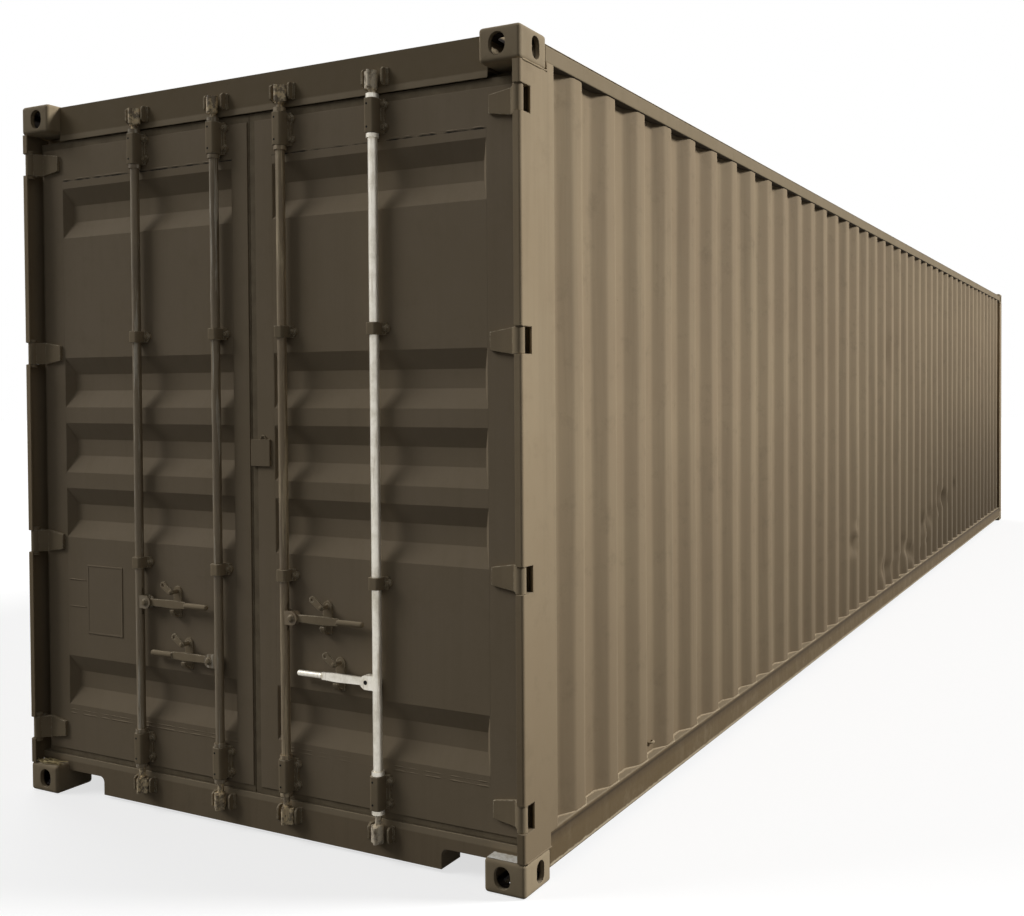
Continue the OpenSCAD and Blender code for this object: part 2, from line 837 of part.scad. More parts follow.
// The air in a panel's recesses, deepened by a given amount
module recess_air(extra) {
    deep = recess_depth + extra;
    half = recess_h / 2;
    inner = panel_inner - extra / 2;
    outer = panel_outer + extra / 2;
    intersection() {
        across(panel_inner, panel_outer) for (level = recess_levels) polygon([
            [extra - joint_cut, level - half],
            [extra, level - half],
            [deep, level - half + recess_slope],
            [deep, level + half - recess_slope],
            [extra, level + half],
            [extra - joint_cut, level + half]
        ]);
        translate([0, 0, panel_low]) linear_extrude(panel_h) polygon([
            [extra - joint_cut, inner + sheet_t],
            [extra, inner + sheet_t],
            [deep, inner + recess_end],
            [deep, outer - recess_end],
            [extra, outer - sheet_t],
            [extra - joint_cut, outer - sheet_t]
        ]);
    }
}

module door_panel() {
    translate([door_face, 0, 0]) difference() {
        union() {
            box([0, panel_inner, panel_low], [sheet_t, panel_outer, panel_high]);
            recess_air(sheet_t);
        }
        recess_air(0);
    }
}

module left_door_panel() {
    color(paint) at_door_end() door_panel();
}

module right_door_panel() {
    color(paint) at_door_end() mirror([0, 1, 0]) door_panel();
}

// A rubber strip round a leaf: two lips with a groove between them, and a reach past the middle edge;
// its front lip covers most of the gaps above and below the leaf
module leaf_gasket(edge, inner_reach) {
    front = door_face + gasket_front;
    back = front + gasket_t - gasket_lip;
    cut_edge = inner_reach > 0 ? edge : edge - joint_cut;
    groove = inner_reach > 0 ? gasket_groove : 0;
    base_reach = gasket_reach - gasket_groove;
    difference() {
        union() {
            box([front, edge - inner_reach, door_bottom - gasket_foot],
                [front + gasket_lip, hinge_edge + gasket_reach, door_top + gasket_head]);
            box([back, edge - inner_reach, door_bottom - gasket_reach],
                [back + gasket_lip, hinge_edge + gasket_reach, door_top + gasket_reach]);
            box([front, edge - inner_reach + groove, door_bottom - base_reach],
                [front + gasket_t, hinge_edge + base_reach, door_top + base_reach]);
        }
        box([front - joint_cut, cut_edge, door_bottom],
            [front + gasket_t + joint_cut, hinge_edge, door_top]);
    }
}

module left_door_gasket() {
    color(rubber) at_door_end() leaf_gasket(left_edge, 0);
}

module right_door_gasket() {
    color(rubber) at_door_end() mirror([0, 1, 0]) leaf_gasket(right_edge, right_edge + overlap_edge);
}

// A knuckle and a cranked blade that tapers towards its tip, on the +Y side
module hinge_blade(level) {
    face = door_face - blade_t;
    root = hinge_edge;
    translate([0, 0, level]) difference() {
        union() {
            translate([pin_depth, pin_y, -knuckle_h / 2]) cylinder(d = knuckle_d, h = knuckle_h);
            translate([0, 0, -knuckle_h / 2]) linear_extrude(knuckle_h) polygon([
                [pin_depth, pin_y - knuckle_d / 2 + pin_fit],
                [face, root - blade_t],
                [door_face, root - blade_t],
                [door_face, root],
                [pin_depth + knuckle_d / 2 - pin_fit, pin_y]
            ]);
            translate([door_face, 0, 0]) rotate([0, -90, 0]) linear_extrude(blade_t) polygon([
                [-knuckle_h / 2, root - blade_t],
                [-blade_tip / 2, root - blade_l],
                [blade_tip / 2, root - blade_l],
                [knuckle_h / 2, root - blade_t]
            ]);
        }
        translate([pin_depth, pin_y, -knuckle_h]) cylinder(d = pin_d + 2 * pin_fit, h = 2 * knuckle_h);
    }
}

module left_door_hinges() {
    color(paint) at_door_end() for (level = hinge_levels) hinge_blade(level);
}

module right_door_hinges() {
    color(paint) at_door_end() mirror([0, 1, 0]) for (level = hinge_levels) hinge_blade(level);
}

// A bracket's flange in Y and Z: a strip with an ear for each bolt
module flange_outline(h) {
    reach = flange_reach - ear_r;
    ears = h > 2 * ear_inset ? [ear_inset, h - ear_inset] : [h / 2];
    translate([-reach, 0]) square([reach, h]);
    for (z = ears) translate([-reach, z]) circle(ear_r);
}

// A flat-fronted sleeve round a bar with a bolted flange on the leaf
module bracket(y, z, h) {
    translate([0, y, z - h / 2]) difference() {
        union() {
            linear_extrude(h) translate([door_face, -sleeve_r]) mirror([1, 0])
                rounded_end(bar_out + sleeve_r, 2 * sleeve_r, sleeve_round);
            along(door_face - flange_t, door_face) flange_outline(h);
        }
        translate([bar_depth, 0, -joint_cut]) cylinder(r = bar_d / 2 + bar_fit, h = h + 2 * joint_cut);
    }
}

module bar_brackets(indices) {
    color(paint) at_door_end() for (i = indices) {
        for (level = bearing_levels) bracket(bars[i][0], level, bearing_h);
        for (level = guide_levels) bracket(bars[i][0], level, guide_h);
    }
}

module left_bar_brackets() {
    bar_brackets([0, 1]);
}

module right_bar_brackets() {
    bar_brackets([2, 3]);
}

// A cam with an outward lobe and a horn on the handle's side, over a ring and a neck of the given length
module cam_head(way, neck_l) {
    linear_extrude(cam_h) union() {
        circle(cam_r);
        rotate(180) arm(cam_root, cam_tip, lobe_reach);
        rotate(way * 90) arm(cam_root, cam_tip, horn_reach);
    }
    translate([0, 0, -ring_h]) cylinder(r = ring_r, h = ring_h);
    translate([0, 0, -neck_l]) cylinder(d = neck_d, h = neck_l);
}

// The two cams at the ends of a bar
module bar_cams(i) {
    way = bars[i][2];
    bottom_cam_top = bottom_cam_z + cam_h;
    color(gear_colour(i)) at_door_end() translate([bar_depth, bars[i][0], 0]) {
        translate([0, 0, top_cam_z]) cam_head(way, top_cam_z - bar_high);
        translate([0, 0, bottom_cam_top]) mirror([0, 0, 1]) cam_head(way, bar_low - bottom_cam_top);
    }
}

// The right outer bar and its handle are bare, the others painted
function gear_colour(i) = i == 3 ? bare_steel : paint;

module lock_bar(i) {
    y = bars[i][0];
    z = bars[i][1];
    way = bars[i][2];
    edge = bearing_end - collar_h / 2;
    slot_half = strap_t / 2 + fork_gap;
    slot_start = bar_d / 4;
    color(gear_colour(i)) at_door_end() translate([bar_depth, y, 0]) {
        difference() {
            union() {
                translate([0, 0, bar_low]) cylinder(d = bar_d, h = bar_high - bar_low);
                for (level = bearing_levels) for (side = [-1, 1])
                    translate([0, 0, level + side * edge - collar_h / 2])
                        cylinder(r = collar_r, h = collar_h);
                translate([0, 0, z]) fork(way);
            }
            translate([0, 0, z - fork_h]) linear_extrude(2 * fork_h) rotate(way * 90)
                translate([slot_start, -slot_half]) square([grip_end, 2 * slot_half]);
        }
        translate([-fork_half, way * bolt_out, z]) rotate([0, 90, 0])
            cylinder(d = bolt_d, h = 2 * fork_half);
    }
}

// The fork that carries a handle: a block with rounded outer corners
module fork(way) {
    reach = bolt_out + fork_h / 2;
    translate([-fork_half, 0, 0]) rotate([0, 90, 0]) linear_extrude(2 * fork_half) union() {
        translate([0, way * bolt_out]) circle(d = fork_h);
        translate([-fork_h / 2, min(0, way * bolt_out)]) square([fork_h, reach - fork_h / 2]);
    }
}

// A flat strap that swells at its retainer, and a round grip with a domed end
module handle(i) {
    y = bars[i][0];
    z = bars[i][1];
    way = bars[i][2];
    dome = grip_end - grip_d / 2;
    color(gear_colour(i)) at_door_end() translate([bar_depth, y, z]) difference() {
        union() {
            translate([-strap_t / 2, 0, 0]) rotate([0, 90, 0]) linear_extrude(strap_t) union() {
                translate([0, way * bolt_out]) circle(d = strap_h);
                polygon([
                    [-strap_h / 2, way * bolt_out],
                    [-swell_h / 2, way * retainer_out],
                    [-strap_h / 2, way * strap_end],
                    [strap_h / 2, way * strap_end],
                    [swell_h / 2, way * retainer_out],
                    [strap_h / 2, way * bolt_out]
                ]);
            }
            translate([0, way * strap_end, 0]) rotate([-way * 90, 0, 0])
                cylinder(d = grip_d, h = dome - strap_end);
            translate([0, way * dome, 0]) sphere(d = grip_d);
        }
        translate([-strap_t, way * bolt_out, 0]) rotate([0, 90, 0])
            cylinder(d = bolt_d + 2 * bolt_fit, h = 2 * strap_t);
    }
}

// A plate on the leaf with a pivot boss above the handle and a hook that curves up under it
module retainer(i) {
    y = bars[i][0] + bars[i][2] * retainer_out;
    z = bars[i][1];
    back = door_face - retainer_t;
    hook_top = -swell_h / 2 - rest_gap;
    hook_r = back - bar_depth + strap_t;
    plate_low = hook_top - hook_r;
    translate([0, y, z]) {
        along(back, door_face) {
            translate([-retainer_w / 2, plate_low]) square([retainer_w, pivot_up - plate_low]);
            translate([0, pivot_up]) circle(d = retainer_w);
        }
        translate([catch_back + catch_fit, 0, pivot_up]) rotate([0, 90, 0])
            cylinder(d = boss_d, h = back - catch_back - catch_fit);
        translate([catch_back - catch_t, 0, pivot_up]) rotate([0, 90, 0])
            cylinder(d = catch_pin_d, h = back - catch_back + catch_t);
        across(-hook_w / 2, hook_w / 2) translate([back, hook_top]) intersection() {
            difference() {
                circle(hook_r);
                circle(hook_r - hook_t);
            }
            translate([-hook_r, -hook_r]) square(hook_r);
        }
    }
}

module left_handle_retainers() {
    color(paint) at_door_end() for (i = [0, 1]) retainer(i);
}

module right_handle_retainers() {
    color(paint) at_door_end() for (i = [2, 3]) retainer(i);
}

// A catch with a pin hole and a padlock hole, swung aside
module catch(i) {
    y = bars[i][0] + bars[i][2] * retainer_out;
    z = bars[i][1] + pivot_up;
    color(paint) at_door_end() translate([catch_back - catch_t, y, z]) rotate([catch_rest, 0, 0])
        rotate([90, 0, 90]) linear_extrude(catch_t) difference() {
            union() {
                circle(d = catch_w);
                arm(catch_w / 2, catch_tip, catch_l);
            }
            circle(d = catch_pin_d + 2 * catch_fit);
            translate([catch_l - catch_tip, 0]) circle(d = catch_hole);
        }
}

module right_overlap_plate() {
    color(paint) at_door_end()
        box([door_face - overlap_t, overlap_edge - overlap_w, door_mid - overlap_h / 2],
            [door_face, overlap_edge, door_mid + overlap_h / 2]);
}

corner_castings();
door_posts();
front_posts();
door_header();
door_sill();
front_rails();
top_side_rails();
bottom_side_rails();
right_side_wall();
left_side_wall();
front_end_wall();
roof_sheet();
floor_boards();
cross_members();
cam_keepers();
hinge_lugs();
tie_back_hooks();
left_door_frame();
left_door_panel();
left_door_gasket();
left_door_hinges();
left_bar_brackets();
left_handle_retainers();
right_door_frame();
right_door_panel();
right_door_gasket();
right_door_hinges();
right_bar_brackets();
right_handle_retainers();
right_overlap_plate();
lock_bar(0);  // left_outer_bar
lock_bar(1);  // left_inner_bar
lock_bar(2);  // right_inner_bar
lock_bar(3);  // right_outer_bar
bar_cams(0);  // left_outer_cams
bar_cams(1);  // left_inner_cams
bar_cams(2);  // right_inner_cams
bar_cams(3);  // right_outer_cams
handle(0);  // left_outer_handle
handle(1);  // left_inner_handle
handle(2);  // right_inner_handle
handle(3);  // right_outer_handle
catch(0);  // left_outer_catch
catch(1);  // left_inner_catch
catch(2);  // right_inner_catch
catch(3);  // right_outer_catch
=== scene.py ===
"""Looks of a long steel freight container: worn sand paint, welds, bolts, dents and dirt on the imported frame."""
import logging
import math
import random
from contextlib import contextmanager
from dataclasses import dataclass
from enum import Enum
from typing import Callable, Iterator, Sequence

import bmesh
import bpy
import numpy as np
from bpy.types import Material, Node, NodeSocket, NodeTree, Object
from mathutils import Matrix, Vector


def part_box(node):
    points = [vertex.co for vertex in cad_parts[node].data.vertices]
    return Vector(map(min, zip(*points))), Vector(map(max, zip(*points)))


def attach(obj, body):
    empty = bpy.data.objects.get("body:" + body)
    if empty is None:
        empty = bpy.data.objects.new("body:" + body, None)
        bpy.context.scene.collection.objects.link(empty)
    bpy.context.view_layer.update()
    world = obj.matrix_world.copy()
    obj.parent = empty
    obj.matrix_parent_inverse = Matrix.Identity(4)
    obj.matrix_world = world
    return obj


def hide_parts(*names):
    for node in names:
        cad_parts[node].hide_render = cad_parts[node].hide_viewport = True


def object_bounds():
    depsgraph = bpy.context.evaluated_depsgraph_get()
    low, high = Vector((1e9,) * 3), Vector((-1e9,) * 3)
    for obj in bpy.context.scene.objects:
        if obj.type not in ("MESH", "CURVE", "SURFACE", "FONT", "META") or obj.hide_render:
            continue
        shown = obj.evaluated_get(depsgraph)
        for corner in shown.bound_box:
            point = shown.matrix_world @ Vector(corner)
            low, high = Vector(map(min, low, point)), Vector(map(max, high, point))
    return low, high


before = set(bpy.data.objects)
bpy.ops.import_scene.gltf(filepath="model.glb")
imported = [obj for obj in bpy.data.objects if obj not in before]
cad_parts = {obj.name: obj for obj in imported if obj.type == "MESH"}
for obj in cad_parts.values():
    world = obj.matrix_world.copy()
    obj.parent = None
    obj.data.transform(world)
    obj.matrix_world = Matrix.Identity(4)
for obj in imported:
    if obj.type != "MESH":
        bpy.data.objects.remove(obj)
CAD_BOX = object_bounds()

LOG = logging.getLogger("container")
MM = 0.001
IMAGE_W = 1024
IMAGE_H = 916
CASTING = (178 * MM, 162 * MM, 118 * MM)
UP_TO_DOOR_END = Matrix.Rotation(math.radians(-90), 4, "Y")
BEAD_SMOOTH_DEG = 60


class Primitive(Enum):
    """The primitives that new pieces start from."""

    CUBE = "primitive_cube_add"
    CYLINDER = "primitive_cylinder_add"
    GRID = "primitive_grid_add"
    PLANE = "primitive_plane_add"


class Element(Enum):
    """The elements of a mesh that edit mode selects."""

    VERT = "VERT"
    EDGE = "EDGE"
    FACE = "FACE"


class Body(Enum):
    """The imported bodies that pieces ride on."""

    ROOT = "root"
    LEFT_DOOR = "left_door"
    RIGHT_DOOR = "right_door"


class LockingBar(Enum):
    """The four locking bars: name, axis in Y, handle height and the way in Y that the handle points."""

    LEFT_OUTER = ("left_outer", 592 * MM, 850 * MM, -1)
    LEFT_INNER = ("left_inner", 166 * MM, 648 * MM, 1)
    RIGHT_INNER = ("right_inner", -166 * MM, 850 * MM, -1)
    RIGHT_OUTER = ("right_outer", -592 * MM, 648 * MM, 1)

    def __init__(self, label: str, axis: float, handle: float, way: int) -> None:
        """Names what the value holds, and the leaf that carries the bar."""
        self.label, self.axis, self.handle, self.way = label, axis, handle, way
        self.leaf = label.split("_")[0]


def linear(hex_colour: str) -> tuple[float, float, float, float]:
    """Turns an sRGB hex value to linear colour.

    Args:
        hex_colour: the colour, such as "#96876c".

    Returns:
        Red, green, blue and an alpha of 1.
    """
    channels = [int(hex_colour[i:i + 2], 16) / 255 for i in (1, 3, 5)]
    turned = [c / 12.92 if c <= 0.04045 else ((c + 0.055) / 1.055) ** 2.4 for c in channels]
    return (*turned, 1.0)


def per_metre(size_mm: float) -> float:
    """Gives the texture scale at which one feature of a pattern is about this many millimetres."""
    return 1000.0 / size_mm


def add_node(tree: NodeTree, kind: str, settings: dict | None = None, links: dict | None = None) -> Node:
    """Adds a shader node with its settings and links.

    Args:
        tree: the node tree.
        kind: the node's type.
        settings: attributes by name, and input values by name or number.
        links: output sockets by the name or number of the input that they feed.

    Returns:
        The new node.
    """
    node = tree.nodes.new(kind)
    for key, value in (settings or {}).items():
        if isinstance(key, str) and hasattr(node, key):
            setattr(node, key, value)
        else:
            node.inputs[key].default_value = value
    for key, socket in (links or {}).items():
        tree.links.new(socket, node.inputs[key])
    return node


def clear_selection() -> None:
    """Goes to object mode with nothing selected."""
    if bpy.context.object and bpy.context.object.mode != "OBJECT":
        bpy.ops.object.mode_set(mode="OBJECT")
    bpy.ops.object.select_all(action="DESELECT")


def activate(piece: Object) -> None:
    """Makes a piece the only selected and the active one."""
    clear_selection()
    piece.select_set(True)
    bpy.context.view_layer.objects.active = piece


def settle(piece: Object) -> None:
    """Puts a piece's place, turn and scale into its mesh."""
    activate(piece)
    bpy.ops.object.transform_apply(location=True, rotation=True, scale=True)


def primitive(kind: Primitive, name: str, **shape: object) -> Object:
    """Adds a primitive as the start of a piece.

    Args:
        kind: which primitive.
        name: the piece's name.
        shape: the operator's own sizes and place.

    Returns:
        The new object.
    """
    clear_selection()
    getattr(bpy.ops.mesh, kind.value)(**shape)
    piece = bpy.context.object
    piece.name = piece.data.name = name
    return piece


def block(name: str, low: Vector, high: Vector) -> Object:
    """Makes a solid block between two corners.

    Args:
        name: the block's name.
        low: the corner with the least coordinates.
        high: the opposite corner.

    Returns:
        The block, with its place in its mesh.
    """
    piece = primitive(Primitive.CUBE, name, size=1)
    piece.scale = high - low
    piece.location = (low + high) / 2
    settle(piece)
    return piece


@contextmanager
def editing(piece: Object, mode: Element = Element.FACE) -> Iterator[bmesh.types.BMesh]:
    """Opens a piece in edit mode with nothing selected.

    Args:
        piece: the object to edit.
        mode: what is selected in it.

    Returns:
        The edit mesh, until the block ends.
    """
    activate(piece)
    bpy.ops.object.mode_set(mode="EDIT")
    bpy.ops.mesh.select_mode(type=mode.value)
    bpy.ops.mesh.select_all(action="DESELECT")
    yield bmesh.from_edit_mesh(piece.data)
    bpy.ops.object.mode_set(mode="OBJECT")


def pick(piece: Object, elements: Sequence, test: Callable) -> None:
    """Selects the elements of an edit mesh that pass a test, and no others.

    Args:
        piece: the object in edit mode.
        elements: the edit mesh's vertices, edges or faces.
        test: says whether an element is wanted.
    """
    bpy.ops.mesh.select_all(action="DESELECT")
    for element in elements:
        if test(element):
            element.select_set(True)
    bmesh.update_edit_mesh(piece.data)


def round_off(piece: Object, width: float, segments: int, test: Callable = lambda element: True,
              mode: Element = Element.FACE) -> None:
    """Bevels the edges that pass a test, or the edges of the faces that pass it.

    Args:
        piece: the object.
        width: the bevel's width.
        segments: the steps across it.
        test: says whether an edge or a face is wanted.
        mode: which of the two is tested.
    """
    with editing(piece, mode) as mesh:
        pick(piece, mesh.edges if mode is Element.EDGE else mesh.faces, test)
        bpy.ops.mesh.bevel(offset=width, segments=segments, affect="EDGES")


def shape_with(piece: Object, kind: str, **settings: object) -> None:
    """Adds a modifier to a piece and applies it.

    Args:
        piece: the object.
        kind: the modifier's type.
        settings: the modifier's settings.
    """
    activate(piece)
    modifier = piece.modifiers.new(kind.title(), kind)
    for key, value in settings.items():
        setattr(modifier, key, value)
    bpy.ops.object.modifier_apply(modifier=modifier.name)


def join(pieces: Sequence[Object], name: str) -> Object:
    """Joins pieces into one mesh.

    Args:
        pieces: the objects to join.
        name: the joined piece's name.

    Returns:
        The joined object.
    """
    clear_selection()
    for piece in pieces:
        piece.select_set(True)
    bpy.context.view_layer.objects.active = pieces[0]
    if len(pieces) > 1:
        bpy.ops.object.join()
    pieces[0].name = pieces[0].data.name = name
    return pieces[0]


def spread(model: Object, places: Sequence[tuple[float, float, float]], name: str) -> Object:
    """Copies a model to each place, joins the copies and removes the model.

    Args:
        model: the piece that repeats, around the origin.
        places: where each copy goes.
        name: the joined piece's name.

    Returns:
        The joined object.
    """
    copies = []
    for place in places:
        copy = model.copy()
        copy.data = model.data.copy()
        copy.data.transform(Matrix.Translation(place))
        bpy.context.scene.collection.objects.link(copy)
        copies.append(copy)
    bpy.data.objects.remove(model)
    return join(copies, name)


def dress(piece: Object, body: str, finish: Material, smooth_deg: float = 30.0) -> None:
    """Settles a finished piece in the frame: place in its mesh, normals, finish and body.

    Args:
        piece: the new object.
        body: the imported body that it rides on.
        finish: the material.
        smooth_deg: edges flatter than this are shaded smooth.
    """
    settle(piece)
    bpy.ops.object.shade_smooth_by_angle(angle=math.radians(smooth_deg))
    piece.data.materials.clear()
    piece.data.materials.append(finish)
    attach(piece, body)
    LOG.info("%s: %d faces on %s", piece.name, len(piece.data.polygons), body)


@dataclass(frozen=True)
class Ramp:
    """Lets a colour show as a value goes from the start, where none of it shows, to full, where the most does."""

    value: NodeSocket
    start: float
    full: float
    most: float = 1.0


class Surface:
    """A new material: its node tree, its shader and the Object coordinates that its patterns lie on."""

    grain_span: tuple[float, float] = (0.3, 0.7)

    def __init__(self, name: str) -> None:
        """Starts the material under its name."""
        self.material = bpy.data.materials.new(name)
        self.material.use_nodes = True
        self.tree = self.material.node_tree
        self.shader = self.tree.nodes["Principled BSDF"]
        self.place = add_node(self.tree, "ShaderNodeTexCoord").outputs["Object"]

    def over(self, under: str | NodeSocket, colour: str, *ramps: Ramp) -> NodeSocket:
        """Lays a colour over another where every ramp lets it show.

        Args:
            under: the colour below, as a hex value or a socket.
            colour: the hex value that is laid over it.
            ramps: what lets it show; their shares are multiplied.

        Returns:
            The mixed colour.
        """
        share = None
        for ramp in ramps:
            span = {"From Min": ramp.start, "From Max": ramp.full, "To Max": ramp.most}
            rise = add_node(self.tree, "ShaderNodeMapRange", span, {"Value": ramp.value}).outputs["Result"]
            share = rise if share is None else add_node(
                self.tree, "ShaderNodeMath", {"operation": "MULTIPLY"}, {0: share, 1: rise}).outputs[0]
        mixed = add_node(self.tree, "ShaderNodeMix", {"data_type": "RGBA", 7: linear(colour)}, {0: share})
        if isinstance(under, str):
            mixed.inputs[6].default_value = linear(under)
        else:
            self.tree.links.new(under, mixed.inputs[6])
        return mixed.outputs[2]

    def patches(self, under: str | NodeSocket, colour: str, size_mm: Sequence[float], span: tuple[float, float],
                most: float = 1.0, detail: float = 5.0, fine: float = 0.62) -> tuple[NodeSocket, NodeSocket]:
        """Lays a colour over another in the patches of a noise pattern.

        Args:
            under: the colour below, as a hex value or a socket.
            colour: the hex value that is laid over it.
            size_mm: the size of one patch along X, Y and Z.
            span: the noise values where the colour starts to show and where it shows most.
            most: the share of it that shows there.
            detail: the pattern's octaves.
            fine: how strong the finer octaves are.

        Returns:
            The mixed colour, and the noise.
        """
        stretch = add_node(self.tree, "ShaderNodeMapping", {"Scale": [per_metre(size) for size in size_mm]},
                           {"Vector": self.place})
        noise = add_node(self.tree, "ShaderNodeTexNoise", {"Scale": 1.0, "Detail": detail, "Roughness": fine},
                         {"Vector": stretch.outputs["Vector"]}).outputs["Fac"]
        return self.over(under, colour, Ramp(noise, *span, most)), noise

    def finish(self, colour: NodeSocket, grain: NodeSocket, rough: tuple[float, float]) -> Material:
        """Links the colour, and a roughness that follows a noise.

        Args:
            colour: the colour.
            grain: the noise.
            rough: the least and the most roughness.

        Returns:
            The material.
        """
        low, high = self.grain_span
        level = add_node(self.tree, "ShaderNodeMapRange",
                         {"From Min": low, "From Max": high, "To Min": rough[0], "To Max": rough[1]}, {"Value": grain})
        self.tree.links.new(colour, self.shader.inputs["Base Color"])
        self.tree.links.new(level.outputs["Result"], self.shader.inputs["Roughness"])
        return self.material


@dataclass(frozen=True)
class HeightBand:
    """A stretch of a painted piece, between two heights, in another colour: faded, soiled and rubbed paint, and also
    painted shade and painted highlight.
    """

    low: float
    high: float
    colour: str
    strength: float
    soft: float = 3 * MM
    ragged: float = 3 * MM
    from_x: float | None = None
    soft_x: float = 3.0


@dataclass(frozen=True)
class SandPaint:
    """Matt sand-coloured alkyd paint, sprayed on rolled steel."""

    name: str
    coat: str = "#9a886d"
    faded: str = "#a39277"
    soiled: str = "#7a6c56"
    dusty: str = "#a89a82"
    bare: str = "#4a3d2f"
    rough: tuple[float, float] = (0.66, 0.82)
    streaks: float = 0.4
    blotches: float = 0.3
    chips: float = 0.0
    edge_wear: float = 0.0
    edge_colour: str = "#b3a68d"
    edge_radius: float = 3 * MM
    bands: tuple[HeightBand, ...] = ()
    hollow: str = ""
    grit_mm: float = 22
    peel_mm: float = 6
    hollow_rim: tuple[float, float] = (12 * MM, 20 * MM)

    def make(self) -> Material:
        """Builds the paint's node tree.

        Returns:
            The material.
        """
        # Alkyd paint on steel: dull and chalky, in faded patches, with rain streaks, dust on ledges and chips.
        surface = Surface(self.name)
        tree, place, shader = surface.tree, surface.place, surface.shader
        grit = add_node(tree, "ShaderNodeTexNoise",
                        {"Scale": per_metre(self.grit_mm), "Detail": 6.0, "Roughness": 0.68},
                        {"Vector": place}).outputs["Fac"]
        colour = self.weathered(surface)
        for band in self.bands:
            colour = self.banded(surface, band, grit, colour)
        soft = add_node(tree, "ShaderNodeBevel", {"samples": 4, "Radius": self.edge_radius}).outputs["Normal"]
        if self.edge_wear > 0:
            colour = self.rubbed(surface, soft, grit, colour)
        if self.chips > 0:
            start = 0.76 - 0.05 * self.chips
            colour = surface.over(colour, self.bare, Ramp(grit, start, start + 0.015))
        if self.hollow:
            colour = self.darkened(surface, colour)
        peel = add_node(tree, "ShaderNodeTexNoise", {"Scale": per_metre(self.peel_mm), "Detail": 2.0},
                        {"Vector": place})
        bump = add_node(tree, "ShaderNodeBump", {"Strength": 0.15, "Distance": 0.5 * MM},
                        {"Height": peel.outputs["Fac"], "Normal": soft})
        tree.links.new(bump.outputs["Normal"], shader.inputs["Normal"])
        shader.inputs["IOR"].default_value = 1.5
        shader.inputs["Specular IOR Level"].default_value = 0.1
        return surface.finish(colour, grit, self.rough)

    def weathered(self, surface: Surface) -> NodeSocket:
        """Fades the coat in patches, runs rain streaks down it, stains it and dusts what faces up.

        Args:
            surface: the paint's material.

        Returns:
            The weathered colour.
        """
        tone, _ = surface.patches(self.coat, self.faded, (800, 800, 800), (0.36, 0.68), 0.75)
        tone, _ = surface.patches(tone, self.soiled, (70, 70, 1500), (0.5, 0.8), self.streaks, 4.0, 0.6)
        tone, _ = surface.patches(tone, self.soiled, (130, 130, 130), (0.54, 0.74), self.blotches, 6.0, 0.72)
        facing = add_node(surface.tree, "ShaderNodeNewGeometry").outputs["Normal"]
        up = add_node(surface.tree, "ShaderNodeSeparateXYZ", {}, {0: facing}).outputs["Z"]
        return surface.over(tone, self.dusty, Ramp(up, 0.6, 0.95, 0.7))

    def banded(self, surface: Surface, band: HeightBand, grit: NodeSocket, colour: NodeSocket) -> NodeSocket:
        """Lays one height band over the coat, with a ragged edge.

        Args:
            surface: the paint's material.
            band: the band.
            grit: the noise that breaks the band's edges.
            colour: the colour so far.

        Returns:
            The colour with the band.
        """
        place = add_node(surface.tree, "ShaderNodeSeparateXYZ", {}, {0: surface.place})
        height = add_node(surface.tree, "ShaderNodeMath", {"operation": "MULTIPLY_ADD", 1: band.ragged},
                          {0: grit, 2: place.outputs["Z"]}).outputs[0]
        low, high = band.low + band.ragged / 2, band.high + band.ragged / 2
        ramps = [Ramp(height, low - band.soft, low + band.soft),
                 Ramp(height, high + band.soft, high - band.soft, band.strength)]
        if band.from_x is not None:
            ramps.append(Ramp(place.outputs["X"], band.from_x - band.soft_x, band.from_x + band.soft_x))
        return surface.over(colour, band.colour, *ramps)

    def darkened(self, surface: Surface, colour: NodeSocket) -> NodeSocket:
        """Darkens the hollows of the corner castings to near black: painted shade inside them, over unpainted steel
        dark with rust and old dirt.

        Args:
            surface: the paint's material.
            colour: the colour so far.

        Returns:
            The colour with the dark hollows.
        """
        low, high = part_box("corner_castings")
        middle = (low + high) / 2
        away = add_node(surface.tree, "ShaderNodeVectorMath", {"operation": "SUBTRACT", 1: middle}, {0: surface.place})
        away = add_node(surface.tree, "ShaderNodeVectorMath", {"operation": "ABSOLUTE"}, {0: away.outputs[0]})
        sides = add_node(surface.tree, "ShaderNodeSeparateXYZ", {}, {0: away.outputs[0]})
        start, full = self.hollow_rim
        ramps = [
            Ramp(sides.outputs[axis], edge - way * start, edge - way * full)
            for axis, half, depth in zip("XYZ", high - middle, CASTING) for edge, way in ((half, 1), (half - depth, -1))
        ]
        return surface.over(colour, self.hollow, *ramps)

    def rubbed(self, surface: Surface, soft: NodeSocket, grit: NodeSocket, colour: NodeSocket) -> NodeSocket:
        """Rubs the coat pale at the edges, where hands, ropes and the moving gear touch it.

        Args:
            surface: the paint's material.
            soft: the normal rounded off at the edges.
            grit: the noise that breaks the rubbed line.
            colour: the colour so far.

        Returns:
            The colour with the rubbed edges.
        """
        facing = add_node(surface.tree, "ShaderNodeNewGeometry").outputs["Normal"]
        turn = add_node(surface.tree, "ShaderNodeVectorMath", {"operation": "DOT_PRODUCT"}, {0: soft, 1: facing})
        return surface.over(colour, self.edge_colour, Ramp(turn.outputs["Value"], 0.98, 0.82),
                            Ramp(grit, 0.42, 0.62, self.edge_wear))


